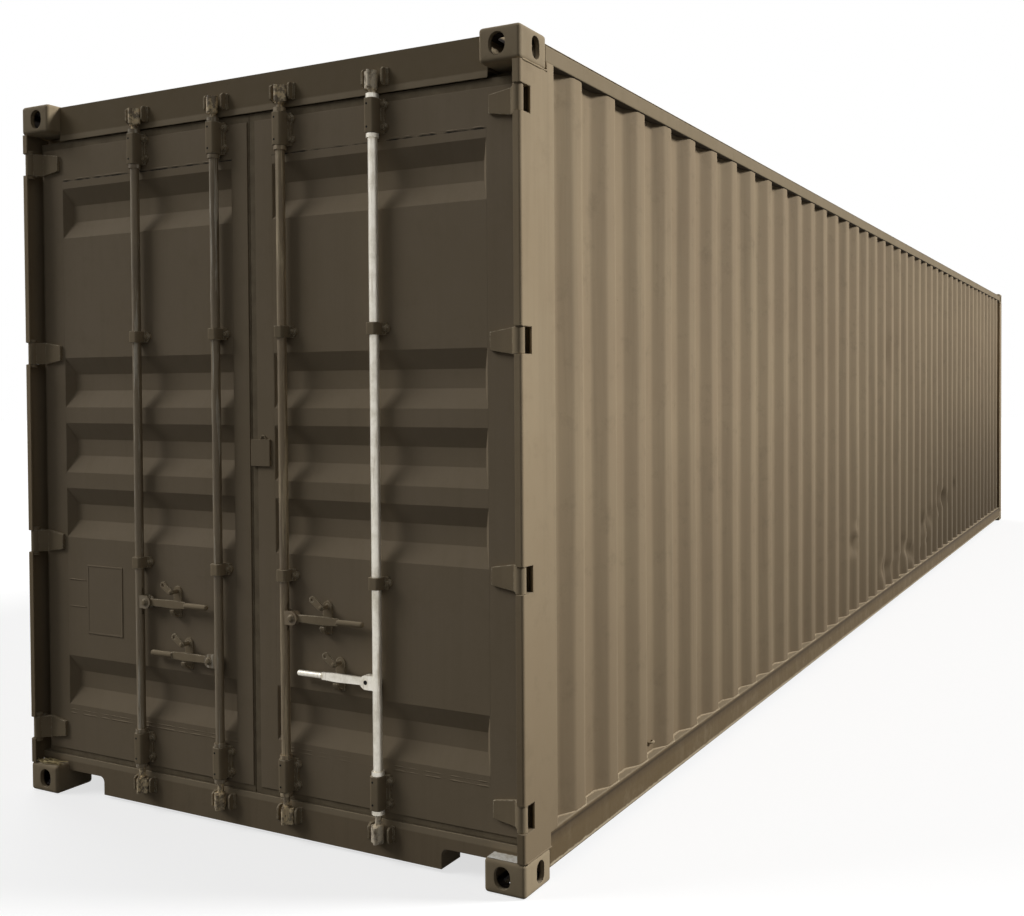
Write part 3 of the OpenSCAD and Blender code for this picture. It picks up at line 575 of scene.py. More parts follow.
@dataclass(frozen=True)
class BarPaint:
    """Sand paint on the locking bars, scraped through to pale zinc along their length."""

    name: str
    coat: str
    zinc: str = "#d6ccb8"
    worn: float = 0.8
    scrape_mm: tuple[float, float, float] = (16, 16, 380)
    grime: str = "#5a4d3c"

    def make(self) -> Material:
        """Builds the node tree.

        Returns:
            The material.
        """
        # Paint over zinc: satin where hands slide along the tube, with long pale scrapes and dark grime.
        surface = Surface(self.name)
        grimy, _ = surface.patches(self.coat, self.grime, (240, 240, 240), (0.45, 0.7), 0.55, 4.0, 0.5)
        span = (0.66 - 0.14 * self.worn, 0.72 - 0.1 * self.worn)
        colour, scrape = surface.patches(grimy, self.zinc, self.scrape_mm, span, 0.85, 6.0, 0.65)
        surface.shader.inputs["Specular IOR Level"].default_value = 0.35
        return surface.finish(colour, scrape, (0.42, 0.6))


@dataclass(frozen=True)
class DullZinc:
    """Hot-dip galvanised steel that never got its paint."""

    name: str
    pale: str = "#f3eddf"
    grey: str = "#d0c8b6"
    stain: str = "#8a7759"

    def make(self) -> Material:
        """Builds the node tree.

        Returns:
            The material.
        """
        # Hot-dip zinc: pale and half dull, cloudy, with brownish runs where paint mist and rust caught it.
        surface = Surface(self.name)
        base, cloud = surface.patches(self.pale, self.grey, (60, 60, 60), (0.42, 0.68), 0.8, 6.0, 0.65)
        colour, _ = surface.patches(base, self.stain, (12, 12, 260), (0.56, 0.72), 0.7, 5.0, 0.6)
        surface.shader.inputs["Metallic"].default_value = 0.6
        return surface.finish(colour, cloud, (0.38, 0.62))


@dataclass(frozen=True)
class SpeckledMatter:
    """A dull stuff of two mingled colours: rubber, underseal, plywood, straw or dust."""

    name: str
    light: str
    dark: str
    grain_mm: tuple[float, float, float]
    rough: float = 0.85
    relief_mm: float = 0.4

    def make(self) -> Material:
        """Builds the node tree.

        Returns:
            The material.
        """
        # No gloss to speak of, so the eye takes it from the two colours and the grain's direction.
        surface = Surface(self.name)
        tree, shader = surface.tree, surface.shader
        colour, grain = surface.patches(self.light, self.dark, self.grain_mm, (0.35, 0.68))
        bump = add_node(tree, "ShaderNodeBump", {"Strength": 0.3, "Distance": self.relief_mm * MM}, {"Height": grain})
        shader.inputs["Roughness"].default_value = self.rough
        shader.inputs["Specular IOR Level"].default_value = 0.2
        tree.links.new(colour, shader.inputs["Base Color"])
        tree.links.new(bump.outputs["Normal"], shader.inputs["Normal"])
        return surface.material


# Darker towards the foot: painted shade where the light falls off lower down, with some soil.
FOOT_SHADE_AND_SOIL = HeightBand(-1.0, 0.75, "#584b38", 0.62, 0.85, 0.2)
# Darker low down towards the far end of the side.
FAR_LOW_DARKENING = HeightBand(-1.0, 1.2, "#4f4332", 0.9, 1.1, 0.3, -0.8)
# Bands on the bottom rail: painted shadow under its ledge, darkest in a line just below it; a pale line of rubbed paint
# on the lower flange; a lighter strip under that.
RAIL_BANDS = (
    HeightBand(130 * MM, 161 * MM, "#4a3e2f", 0.6, 14 * MM, 8 * MM),
    HeightBand(150 * MM, 161 * MM, "#30271d", 0.7, 4 * MM, 5 * MM),
    HeightBand(48 * MM, 56 * MM, "#b5a78d", 0.85, 2.5 * MM, 14 * MM),
    HeightBand(20 * MM, 47 * MM, "#77684f", 0.7, 3 * MM, 10 * MM),
)
TOP_RAIL_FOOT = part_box("top_side_rails")[0].z
# Painted shade under the top rail: near black on its underside and just above its foot.
TOP_RAIL_UNDERSIDE_SHADE = HeightBand(TOP_RAIL_FOOT - 10 * MM, TOP_RAIL_FOOT + 2 * MM, "#211b14", 0.92, 1 * MM, 1 * MM)
# Painted highlight: the header's lip band, lighter as its face tilts up to the light.
HEADER_LIP_HIGHLIGHT = HeightBand(2.749, 2.772, "#94866f", 0.6)
SILL_LIP = HeightBand(128 * MM, 158 * MM, "#c4b498", 0.28)

# The finishes by the record's material slots, and by names of their own for nodes and pieces that differ.
FINISHES = {
    "paint_frame": SandPaint("frame_sand_paint", chips=0.4, edge_wear=0.5, bands=(FOOT_SHADE_AND_SOIL,)),
    # The sheet's coat is a little darker than the frame's: partly painted shade under the top rail, partly dirt.
    "paint_sheet": SandPaint("sheet_sand_paint", "#938168", "#9b8a6f", streaks=0.5, blotches=0.5, chips=0.4,
                             bands=(FOOT_SHADE_AND_SOIL, FAR_LOW_DARKENING)),
    # The rail's dark coat: soil, and partly painted shade of the web recessed under the ledge.
    "rail": SandPaint("rail_sand_paint", "#5e4f38", "#665741", chips=0.5, blotches=0.5, edge_wear=0.9,
                      bands=RAIL_BANDS),
    "top_rail": SandPaint("top_rail_sand_paint", "#87785f", "#8f8068", chips=0.3, edge_wear=0.4,
                          bands=(TOP_RAIL_UNDERSIDE_SHADE,)),
    # The header's coat is darker than the frame's: grime, and partly painted shade.
    "header": SandPaint("header_sand_paint", "#75674f", "#7c6e58", chips=0.4, edge_wear=0.5, bands=(HEADER_LIP_HIGHLIGHT,)),
    "sill": SandPaint("sill_sand_paint", "#a5947a", "#ac9c82", chips=0.4, edge_wear=0.5, bands=(FOOT_SHADE_AND_SOIL, SILL_LIP)),
    "sealant": SandPaint("painted_sealant", "#a19077", "#a99a80", streaks=0.2),
    # The door's coat is a little darker than the frame's: partly painted shade of the door end, which faces away from
    # the key light.
    "paint_door": SandPaint("door_sand_paint", "#867862", "#8d7f6b", streaks=0.3),
    "paint_gear": SandPaint("gear_sand_paint", "#84765f", edge_wear=1.5, edge_colour="#d9ccb2", chips=0.5,
                            edge_radius=5 * MM),
    # Near-black hollows: painted shade inside the castings, over rust.
    "paint_casting": SandPaint("casting_sand_paint", "#95866d", chips=0.5, edge_radius=2 * MM, hollow="#17110c"),
    "bar": BarPaint("scraped_bar_paint", "#8a7b63"),
    "rubbed_bar": BarPaint("rubbed_bar_paint", "#97856a", "#dcc8a4", 1.0),
    "cam": BarPaint("worn_cam_paint", "#83745d", "#fae3b8", 1.5, (18, 18, 24)),
    "bare_cam": BarPaint("stained_cam_zinc", "#94836a", "#fdeed2", 1.9, (24, 24, 30)),
    "galvanised": DullZinc("dull_zinc"),
    # Moulded rubber with paint mist on it: dull and nearly even.
    "gasket": SpeckledMatter("painted_over_rubber", "#7f725c", "#6a5e4b", (90, 90, 90)),
    # Sprayed bitumen: near black and lumpy.
    "paint_under": SpeckledMatter("bitumen_underseal", "#2c2823", "#1a1815", (30, 30, 30)),
    # Walked-on hardwood plywood: brown, with its grain along the container.
    "plywood": SpeckledMatter("worn_plywood", "#8a6a48", "#5a4029", (700, 18, 18), 0.7),
    # Dry straw: pale yellow with dull ends.
    "straw": SpeckledMatter("dry_straw", "#cbb98c", "#8f7d55", (20, 20, 20)),
    # Road dust: almost white, loose and rough.
    "dust": SpeckledMatter("pale_dust", "#f7f4ec", "#ddd6c7", (14, 14, 14), 0.95, 2.0),
    # Painted shadow in drilled holes and an open seam: near black, as no light comes back from them.
    "shadow": SpeckledMatter("hole_shadow", "#14110d", "#0c0a08", (20, 20, 20)),
}
NODE_FINISHES = {
    "bottom_side_rails": "rail", "top_side_rails": "top_rail", "door_header": "header", "door_sill": "sill",
    "left_outer_bar": "bar", "left_inner_bar": "bar", "right_inner_bar": "rubbed_bar",
    "left_outer_cams": "cam", "left_inner_cams": "cam", "right_inner_cams": "cam", "right_outer_cams": "bare_cam",
}


@dataclass(frozen=True)
class SoftLamp:
    """A far, soft lamp: its name, where it stands as seen from the container, its strength and its spread."""

    name: str
    stands: tuple[float, float, float]
    strength: float
    spread_deg: float


@dataclass(frozen=True)
class Studio:
    """The camera at the photograph's viewing angle, soft light and a pale floor."""

    camera_place: tuple[float, float, float] = (-9.30695, -3.10526, 1.69024)
    heading_deg: float = 26.55
    pitch_deg: float = -1.163
    roll_deg: float = -0.28
    focal_px: float = 1132.15
    centre_px: tuple[float, float] = (599.01, 413.44)
    sensor_mm: float = 36.0
    clip_end: float = 200.0
    floor_half: float = 60.0
    floor_drop: float = 0.5 * MM
    floor_bounce: str = "#3a3a3a"
    floor_seen: str = "#a8a8a8"
    floor_glow: float = 0.68
    sky_low: float = 0.10
    sky_high: float = 0.26
    soft_lamps: tuple[SoftLamp, ...] = (
        SoftLamp("key", (0.45, -0.80, 0.50), 3.4, 14),
        SoftLamp("door_fill", (-0.36, 0.70, 0.61), 1.15, 26),
        SoftLamp("back_fill", (0.50, 0.80, 0.35), 1.3, 40),
    )

    def camera(self) -> None:
        """Sets the camera, its lens and the shift that the photograph's framing needs."""
        data = bpy.data.cameras.new("camera")
        data.sensor_fit = "HORIZONTAL"
        data.sensor_width = self.sensor_mm
        data.lens = self.focal_px / IMAGE_W * self.sensor_mm
        data.shift_x = (IMAGE_W / 2 - self.centre_px[0]) / IMAGE_W
        data.shift_y = (self.centre_px[1] - IMAGE_H / 2) / IMAGE_W
        data.clip_end = self.clip_end
        camera = bpy.data.objects.new("camera", data)
        heading = Matrix.Rotation(math.radians(self.heading_deg - 90), 4, "Z")
        pitch = Matrix.Rotation(math.radians(90 + self.pitch_deg), 4, "X")
        roll = Matrix.Rotation(math.radians(self.roll_deg), 4, "Z")
        camera.matrix_world = Matrix.Translation(self.camera_place) @ heading @ pitch @ roll
        bpy.context.scene.collection.objects.link(camera)
        bpy.context.scene.camera = camera

    def background_seen(self, tree: NodeTree) -> NodeSocket:
        """Gives 1 for rays that should see the white background, and 0 for the rest.

        Args:
            tree: the node tree of the world or the floor.

        Returns:
            The socket with the mask.
        """
        path = add_node(tree, "ShaderNodeLightPath")
        seen = path.outputs["Is Camera Ray"]
        for ray in ("Is Glossy Ray", "Is Transmission Ray"):
            either = add_node(tree, "ShaderNodeMath", {"operation": "MAXIMUM"}, {0: seen, 1: path.outputs[ray]})
            seen = either.outputs[0]
        return seen

    def world(self) -> None:
        """Lights the scene softly, most from overhead, and shows a white background."""
        world = bpy.data.worlds.new("studio")
        bpy.context.scene.world = world
        world.use_nodes = True
        tree = world.node_tree
        tree.nodes.clear()
        way = add_node(tree, "ShaderNodeTexCoord").outputs["Generated"]
        height = add_node(tree, "ShaderNodeSeparateXYZ", {}, {0: way})
        level = add_node(tree, "ShaderNodeMapRange", {"To Min": self.sky_low, "To Max": self.sky_high},
                         {"Value": height.outputs["Z"]})
        fill = add_node(tree, "ShaderNodeBackground", {"Color": (1, 1, 1, 1)}, {"Strength": level.outputs["Result"]})
        white = add_node(tree, "ShaderNodeBackground", {"Color": (1, 1, 1, 1), "Strength": 1.0})
        mixed = add_node(tree, "ShaderNodeMixShader", {},
                         {0: self.background_seen(tree), 1: fill.outputs[0], 2: white.outputs[0]})
        add_node(tree, "ShaderNodeOutputWorld", {}, {"Surface": mixed.outputs[0]})

    def lamps(self) -> None:
        """Adds the soft lamps."""
        for lamp in self.soft_lamps:
            data = bpy.data.lights.new(lamp.name, "SUN")
            data.energy = lamp.strength
            data.angle = math.radians(lamp.spread_deg)
            piece = bpy.data.objects.new(lamp.name, data)
            piece.rotation_euler = Vector(lamp.stands).to_track_quat("Z", "Y").to_euler()
            bpy.context.scene.collection.objects.link(piece)

    def floor(self) -> None:
        """Lays a pale floor that keeps the container's shadow."""
        floor = primitive(Primitive.GRID, "studio_floor", x_subdivisions=4, y_subdivisions=4,
                          size=2 * self.floor_half, location=(0, 0, -self.floor_drop))
        # Matt backdrop paper: white to the eye, with a soft shadow, and it throws little light back up.
        material = bpy.data.materials.new("pale_floor")
        material.use_nodes = True
        tree = material.node_tree
        tree.nodes.clear()
        bounce = add_node(tree, "ShaderNodeBsdfDiffuse", {"Color": linear(self.floor_bounce)})
        lit = add_node(tree, "ShaderNodeBsdfDiffuse", {"Color": linear(self.floor_seen)})
        glow = add_node(tree, "ShaderNodeEmission", {"Color": (1, 1, 1, 1), "Strength": self.floor_glow})
        pale = add_node(tree, "ShaderNodeAddShader", {}, {0: lit.outputs[0], 1: glow.outputs[0]})
        mixed = add_node(tree, "ShaderNodeMixShader", {},
                         {0: self.background_seen(tree), 1: bounce.outputs[0], 2: pale.outputs[0]})
        add_node(tree, "ShaderNodeOutputMaterial", {}, {"Surface": mixed.outputs[0]})
        floor.data.materials.append(material)

    def set_up(self) -> None:
        """Builds the whole stage."""
        bpy.context.scene.view_settings.view_transform = "Standard"
        self.camera()
        self.world()
        self.lamps()
        self.floor()


def chain(name: str, points: Sequence[Vector]) -> Object:
    """Draws a wire by extruding one vertex from point to point.

    Args:
        name: the wire's name.
        points: the places that it goes through.

    Returns:
        The wire.
    """
    wire = primitive(Primitive.PLANE, name, size=MM)
    with editing(wire, Element.VERT):
        bpy.ops.mesh.select_all(action="SELECT")
        bpy.ops.mesh.merge(type="CENTER")
        bpy.ops.transform.translate(value=points[0])
        for here, there in zip(points, points[1:]):
            bpy.ops.mesh.extrude_region_move(TRANSFORM_OT_translate={"value": there - here})
    return wire


def bead(name: str, points: Sequence[Vector], radius: float, step: float, seed: int, unevenness: float = 0.3,
         sides: int = 1) -> Object:
    """Lays a weld or sealing bead along a path, a little uneven as by hand.

    Args:
        name: the bead's name.
        points: the path's corners.
        radius: half the bead's width.
        step: how often its thickness changes.
        seed: starts the random unevenness.
        unevenness: the share by which the thickness changes.
        sides: the roundness of its section.

    Returns:
        The bead as a mesh.
    """
    path = [points[0].copy()]
    for here, there in zip(points, points[1:]):
        count = max(1, round((there - here).length / step))
        path += [here.lerp(there, i / count) for i in range(1, count + 1)]
    wire = chain(name, path)
    activate(wire)
    bpy.ops.object.convert(target="CURVE")
    dice = random.Random(seed)
    for point in wire.data.splines[0].points:
        point.radius = 1 + unevenness * dice.uniform(-1, 1)
    wire.data.bevel_depth = radius
    wire.data.bevel_resolution = sides
    wire.data.use_fill_caps = True
    bpy.ops.object.convert(target="MESH")
    return bpy.context.object


def crown(name: str, corners: int, radius: float, height: float, foot: float, bevel: float, segments: int) -> Object:
    """Models a round or hexagonal head with a bevelled top, facing out of the door end.

    Args:
        name: the head's name.
        corners: the corners of its outline.
        radius: from its axis to a corner.
        height: its height.
        foot: how far it starts from the plane X = 0.
        bevel: the bevel's width.
        segments: the steps across it.

    Returns:
        The head, its axis through the origin.
    """
    head = primitive(Primitive.CYLINDER, name, vertices=corners, radius=radius, depth=height,
                     location=(0, 0, foot + height / 2))
    round_off(head, bevel, segments, lambda face: face.normal.z > 0.9)
    settle(head)
    head.data.transform(UP_TO_DOOR_END)
    return head


def hex_bolt(name: str, across: float, head: float, washer: float, washer_t: float = 3 * MM) -> Object:
    """Models one bolt head on its washer, facing out of the door end.

    Args:
        name: the bolt's name.
        across: its width across flats.
        head: the head's height.
        washer: the washer's diameter.
        washer_t: the washer's thickness.

    Returns:
        The bolt at the origin, its foot on the plane X = 0.
    """
    disc = crown(name, 18, washer / 2, washer_t, 0, washer_t / 3, 1)
    nut = crown(name, 6, across / math.sqrt(3), head, washer_t, across / 10, 2)
    return join([disc, nut], name)


def sunk_disc(name: str, corners: int, radius: float, depth: float, rim: float, sunk: float = 0.3 * MM) -> Object:
    """Models a drilled hole as a disc sunk inside its rim, facing out of the door end, to carry the hole's painted
    shadow.

    Args:
        name: the disc's name.
        corners: the corners of its outline.
        radius: its radius.
        depth: its thickness.
        rim: the rim's width.
        sunk: how deep it lies inside the rim.

    Returns:
        The disc around the origin.
    """
    disc = primitive(Primitive.CYLINDER, name, vertices=corners, radius=radius, depth=depth)
    with editing(disc) as mesh:
        pick(disc, mesh.faces, lambda face: len(face.verts) > 4)
        bpy.ops.mesh.inset(thickness=rim, depth=-sunk)
    disc.data.transform(UP_TO_DOOR_END)
    return disc


@dataclass(frozen=True)
class Dent:
    """A knock in a wall: its middle, its reach each way, how far in it goes, and whether it ends in a point."""

    x: float
    z: float
    reach_x: float
    reach_z: float
    push: float
    sharp: bool = False


KNOCKS = (
    Dent(-0.487, 1.991, 0.16, 0.16, 22 * MM),
    Dent(-0.176, 1.949, 0.12, 0.10, 14 * MM),
    Dent(-1.576, 0.619, 0.15, 0.20, 20 * MM),
    Dent(-0.400, 0.300, 0.40, 0.14, 12 * MM),
    Dent(0.300, 0.340, 0.34, 0.16, 14 * MM),
    Dent(1.100, 0.480, 0.30, 0.18, 14 * MM),
    Dent(1.900, 0.660, 0.45, 0.18, 18 * MM),
    Dent(-0.211, 1.126, 0.22, 0.20, 10 * MM),
    Dent(-5.740, 2.650, 0.08, 0.09, 10 * MM),
)
PINCHES = tuple(
    Dent(x, z, reach_x * MM, reach_z * MM, push * MM, True) for x, z, reach_x, reach_z, push in (
        (-1.546, 0.611, 70, 90, 26), (-0.670, 0.335, 80, 120, 34), (-0.344, 0.262, 80, 90, 30),
        (-0.085, 0.261, 80, 110, 34), (0.165, 0.378, 90, 90, 28), (0.402, 0.309, 80, 90, 34),
        (0.259, 0.251, 60, 80, 20), (0.780, 0.255, 70, 70, 28), (0.938, 0.504, 80, 110, 32),
        (1.240, 0.530, 80, 110, 32), (1.130, 0.318, 60, 70, 20), (1.589, 0.683, 90, 140, 32),
        (1.929, 0.643, 160, 120, 30), (2.188, 0.620, 90, 100, 28), (2.562, 0.716, 70, 80, 24),
        (-0.487, 1.991, 70, 60, 18), (-0.252, 1.940, 60, 50, 14)))


def crumpled(knocks: Sequence[Dent], seed: int, creases: int) -> tuple[Dent, ...]:
    """Breaks each knock into the small creases that thin pressed steel folds into.

    Args:
        knocks: the places that were hit.
        seed: starts the random creases.
        creases: how many creases surround a knock.

    Returns:
        The knocks with their creases.
    """
    dice = random.Random(seed)
    dents = []
    for knock in knocks:
        dents.append(Dent(knock.x, knock.z, 0.5 * knock.reach_x, 0.5 * knock.reach_z, 0.8 * knock.push))
        for _ in range(creases):
            x = knock.x + dice.uniform(-1, 1) * knock.reach_x
            z = knock.z + dice.uniform(-0.9, 0.9) * knock.reach_z
            dents.append(Dent(x, z, dice.uniform(50, 90) * MM, dice.uniform(30, 70) * MM,
                              dice.choice((-0.35, 0.5, 0.7)) * knock.push))
    return tuple(dents)


@dataclass
class SideWall:
    """A long side's sheet, pressed into upright ribs from 2 mm steel, with soft bends and knocks."""

    node: str
    name: str
    dents: tuple[Dent, ...] = ()
    rows: int = 50
    pitch: float = 278 * MM
    outer_flat: float = 72 * MM
    slope: float = 68 * MM
    sheet: float = 2 * MM
    bend: float = 11 * MM
    row_share: tuple[float, ...] = (0.0, 0.72, 1.0)
    row_height: tuple[float, ...] = (0.0, 0.36, 1.0)
    wave: float = 0.8 * MM
    waves: tuple[tuple[float, float, float], ...] = ((1.9, 2.3, 0.0), (4.1, -3.2, 1.0))
    held: float = 200 * MM
    bead_radius: float = 3.6 * MM
    bead_step: float = 60 * MM
    bead_off: float = 2 * MM

    def __post_init__(self) -> None:
        """Reads the sheet's place from the frame and works out its outward way, its ribs and the flat at each end."""
        self.low, self.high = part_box(self.node)
        self.out = 1 if self.low.y > 0 else -1
        self.face = self.high.y if self.out > 0 else self.low.y
        self.depth = self.high.y - self.low.y - self.sheet
        long = self.high.x - self.low.x
        self.count = int((long - 4 * self.slope - self.outer_flat) / self.pitch) + 1
        self.lead = (long - ((self.count - 1) * self.pitch + 2 * self.slope + self.outer_flat)) / 2

    def profile(self, z: float, proud: float = 0.0) -> list[Vector]:
        """Traces the outer surface along the side.

        Args:
            z: the height of the trace.
            proud: how far outside the surface it runs.

        Returns:
            The corners from the door end to the blind end.
        """
        outer = self.face + self.out * proud
        inner = outer - self.out * self.depth
        points = [Vector((self.low.x, inner, z))]
        for rib in range(self.count):
            start = self.low.x + self.lead + rib * self.pitch
            points += [
                Vector((start, inner, z)),
                Vector((start + self.slope, outer, z)),
                Vector((start + self.slope + self.outer_flat, outer, z)),
                Vector((start + 2 * self.slope + self.outer_flat, inner, z)),
            ]
        return points + [Vector((self.high.x, inner, z))]

    def build(self, finishes: dict[str, Material], seed: int) -> None:
        """Makes the sheet, knocks its dents in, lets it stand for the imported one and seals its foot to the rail.

        Args:
            finishes: the finishes by name.
            seed: starts the sealing bead's unevenness.
        """
        sheet = chain(self.name, self.profile(self.low.z))
        with editing(sheet, Element.EDGE):
            bpy.ops.mesh.select_all(action="SELECT")
            bpy.ops.mesh.extrude_region_move(TRANSFORM_OT_translate={"value": (0, 0, self.high.z - self.low.z)})
        round_off(sheet, self.bend, 3, self.is_bend, Element.EDGE)
        for wanted, cuts in ((self.is_flat_width, 1), (self.is_upright, self.rows - 1)):
            with editing(sheet, Element.EDGE) as mesh:
                pick(sheet, mesh.edges, wanted)
                bpy.ops.mesh.subdivide(number_cuts=cuts)
        self.knock(sheet)
        with editing(sheet) as mesh:
            facing_in = sum(face.normal.y * face.calc_area() for face in mesh.faces) * self.out < 0
            bpy.ops.mesh.select_all(action="SELECT")
            if facing_in:
                bpy.ops.mesh.flip_normals()
        shape_with(sheet, "SOLIDIFY", thickness=self.sheet, offset=-1.0)
        dress(sheet, Body.ROOT.value, finishes["paint_sheet"], 40)
        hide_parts(self.node)
        line = bead(f"{self.name}_foot_bead", self.profile(self.low.z + self.bead_off, self.bead_off),
                    self.bead_radius, self.bead_step, seed)
        dress(line, Body.ROOT.value, finishes["sealant"], BEAD_SMOOTH_DEG)

    def is_upright(self, edge: bmesh.types.BMEdge) -> bool:
        """Says whether an edge runs from foot to top."""
        return abs(edge.verts[0].co.z - edge.verts[1].co.z) > MM

    def is_bend(self, edge: bmesh.types.BMEdge) -> bool:
        """Says whether an edge is an upright one between two faces."""
        return self.is_upright(edge) and len(edge.link_faces) == 2

    def is_flat_width(self, edge: bmesh.types.BMEdge) -> bool:
        """Says whether an edge crosses a flat at the sheet's foot or top."""
        gap = edge.verts[0].co - edge.verts[1].co
        return abs(gap.z) < MM and abs(gap.x) > self.outer_flat / 3

    def knock(self, sheet: Object) -> None:
        """Draws the rows together at the foot, pushes the dents in, and waves the sheet a little as thin steel is.

        Args:
            sheet: the sheet before it gets its thickness.
        """
        places = np.empty(len(sheet.data.vertices) * 3)
        sheet.data.vertices.foreach_get("co", places)
        places = places.reshape(-1, 3)
        x, z = places[:, 0], places[:, 2]
        height = self.high.z - self.low.z
        z[:] = self.low.z + height * np.interp((z - self.low.z) / height, self.row_share, self.row_height)
        free = np.clip(np.minimum(z - self.low.z, self.high.z - z) / self.held, 0, 1)
        push = self.wave * free * sum(np.sin(a * x + b * z + start) for a, b, start in self.waves)
        for dent in self.dents:
            away = np.hypot((x - dent.x) / dent.reach_x, (z - dent.z) / dent.reach_z)
            fall = 1 - np.minimum(away, 1)
            push += dent.push * (fall ** 1.2 if dent.sharp else (fall * (2 - fall)) ** 2)
        places[:, 1] -= self.out * push
        sheet.data.vertices.foreach_set("co", places.ravel())
        sheet.data.update()


@dataclass
class DoorLeaf:
    """What dresses one leaf: panel weld lines and a seam's painted shadow, bar bracket bolts and holes' painted
    shadows, catch pin caps.
    """

    side: str
    seed: int
    weld: float = 3.2 * MM
    weld_step: float = 22 * MM
    inner_weld_up: float = 15 * MM
    seam_down: float = 5 * MM
    flange_t: float = 9 * MM
    flange_bolt: float = 38 * MM
    sleeve_front: float = 50.4 * MM
    sleeve_hole: tuple[float, float] = (8 * MM, 41 * MM)
    bearing_h: float = 122 * MM
    bearing_bolt: float = 39 * MM
    guide_far: float = 454 * MM
    pivot_out: float = 184 * MM
    pivot_up: float = 50 * MM
    bolt: tuple[float, float, float] = (15 * MM, 9 * MM, 22 * MM)
    hole: tuple[float, float, float] = (4 * MM, 1 * MM, 1 * MM)
    rivet: tuple[float, float] = (8 * MM, 5 * MM)
    rivet_bevel: float = 3.5 * MM

    def __post_init__(self) -> None:
        """Finds the leaf's body, its bars, its front and the heights of its lower and upper bearings."""
        self.body = f"{self.side}_door"
        self.bars = [bar for bar in LockingBar if bar.leaf == self.side]
        self.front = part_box(f"{self.side}_door_frame")[0].x
        low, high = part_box(f"{self.side}_bar_brackets")
        self.bearings = (low.z + self.bearing_h / 2, high.z - self.bearing_h / 2)

    def build(self, finishes: dict[str, Material]) -> None:
        """Adds everything to the leaf.

        Args:
            finishes: the finishes by name.
        """
        self.panel_welds(finishes["paint_door"], finishes["shadow"])
        middle = sum(self.bearings) / 2
        levels = [end + step for end in self.bearings for step in (-self.bearing_bolt, self.bearing_bolt)]
        levels += [middle - self.guide_far, middle + self.guide_far]
        bolt = hex_bolt("bolt", *self.bolt)
        self.beside_bars(bolt, "bracket_bolts", (self.flange_t, -self.flange_bolt), levels, finishes["paint_gear"])
        aside, up = self.sleeve_hole
        levels = [end + way * up for end in self.bearings for way in (-1, 1)]
        # Dark discs at the sleeves: painted shadow of the holes.
        hole = sunk_disc("hole", 16, *self.hole)
        self.beside_bars(hole, "sleeve_hole_shadows", (self.sleeve_front, aside), levels, finishes["shadow"])
        self.catch_rivets(finishes["paint_gear"])

    def panel_welds(self, paint: Material, shadow: Material) -> None:
        """Lays the weld lines along the pressed panel's foot and top, and a dark bead of painted shadow for the open
        seam under its top weld.

        Args:
            paint: the finish of the welds.
            shadow: the painted shadow of the seam.
        """
        low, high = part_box(f"{self.side}_door_panel")
        # The top seam is a dark bead of painted shadow.
        for name, z, share, finish in (
                ("foot_weld", low.z, 1, paint), ("top_weld", high.z, 1, paint),
                ("inner_foot_weld", low.z + self.inner_weld_up, 0.7, paint),
                ("top_seam_shadow", high.z - self.seam_down, 0.55, shadow)):
            radius = share * self.weld
            path = [Vector((self.front + 0.6 * radius, y, z)) for y in (low.y, high.y)]
            line = bead(f"{self.side}_panel_{name}", path, radius, self.weld_step, self.seed, 0.4)
            dress(line, self.body, finish, BEAD_SMOOTH_DEG)

    def beside_bars(self, piece: Object, name: str, place: tuple[float, float], levels: Sequence[float],
                    finish: Material) -> None:
        """Sets copies of a small piece beside each of the leaf's bars.

        Args:
            piece: the piece that repeats.
            name: what the copies are.
            place: how far they stand in front of the leaf, and beside the bar's axis in Y.
            levels: their heights.
            finish: their finish.
        """
        out, aside = place
        places = [(self.front - out, bar.axis + aside, level) for bar in self.bars for level in levels]
        dress(spread(piece, places, f"{self.side}_{name}"), self.body, finish)

    def catch_rivets(self, paint: Material) -> None:
        """Caps the pins that the handle catches swing on; each round cap turns with its catch.

        Args:
            paint: the finish.
        """
        for bar in self.bars:
            rivet = crown("rivet", 16, *self.rivet, 0, self.rivet_bevel, 3)
            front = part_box(f"{bar.label}_catch")[0].x
            place = (front, bar.axis + bar.way * self.pivot_out, bar.handle + self.pivot_up)
            dress(spread(rivet, [place], f"{bar.label}_catch_rivet"), f"{bar.label}_catch", paint)


@dataclass
class BarePlate:
    """The blank plate on the left leaf, painted over, with the ends of two old welds beside it."""

    middle: tuple[float, float] = (826 * MM, 826 * MM)
    size: tuple[float, float] = (206 * MM, 288 * MM)
    thickness: float = 2.5 * MM
    rim: float = 6 * MM
    rim_slope: float = 1.5 * MM
    rim_h: float = 1.2 * MM
    edge: float = 0.6 * MM
    weld: float = 2.5 * MM
    weld_step: float = 14 * MM
    weld_y: tuple[float, float] = (940 * MM, 1035 * MM)
    weld_z: tuple[float, ...] = (791 * MM, 904 * MM)

    def build(self, paint: Material) -> None:
        """Makes the plate, its raised rim and the two welds.

        Args:
            paint: the finish.
        """
        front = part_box("left_door_frame")[0].x
        middle = Vector((front, *self.middle))
        half = Vector((2 * self.thickness, *self.size)) / 2
        plate = block("left_bare_plate", middle - half, middle + half)
        with editing(plate) as mesh:
            pick(plate, mesh.faces, lambda face: face.normal.x < -0.9)
            bpy.ops.mesh.inset(thickness=self.rim, depth=0)
            bpy.ops.mesh.inset(thickness=self.rim_slope, depth=-self.rim_h)
        raised = front - 0.9 * self.thickness
        round_off(plate, self.edge, 1, lambda edge: all(vert.co.x < raised for vert in edge.verts), Element.EDGE)
        dress(plate, Body.LEFT_DOOR.value, paint)
        for i, height in enumerate(self.weld_z):
            path = [Vector((front, end, height)) for end in self.weld_y]
            line = bead(f"left_old_weld_{i + 1}", path, self.weld, self.weld_step, seed=40 + i)
            dress(line, Body.LEFT_DOOR.value, paint, BEAD_SMOOTH_DEG)


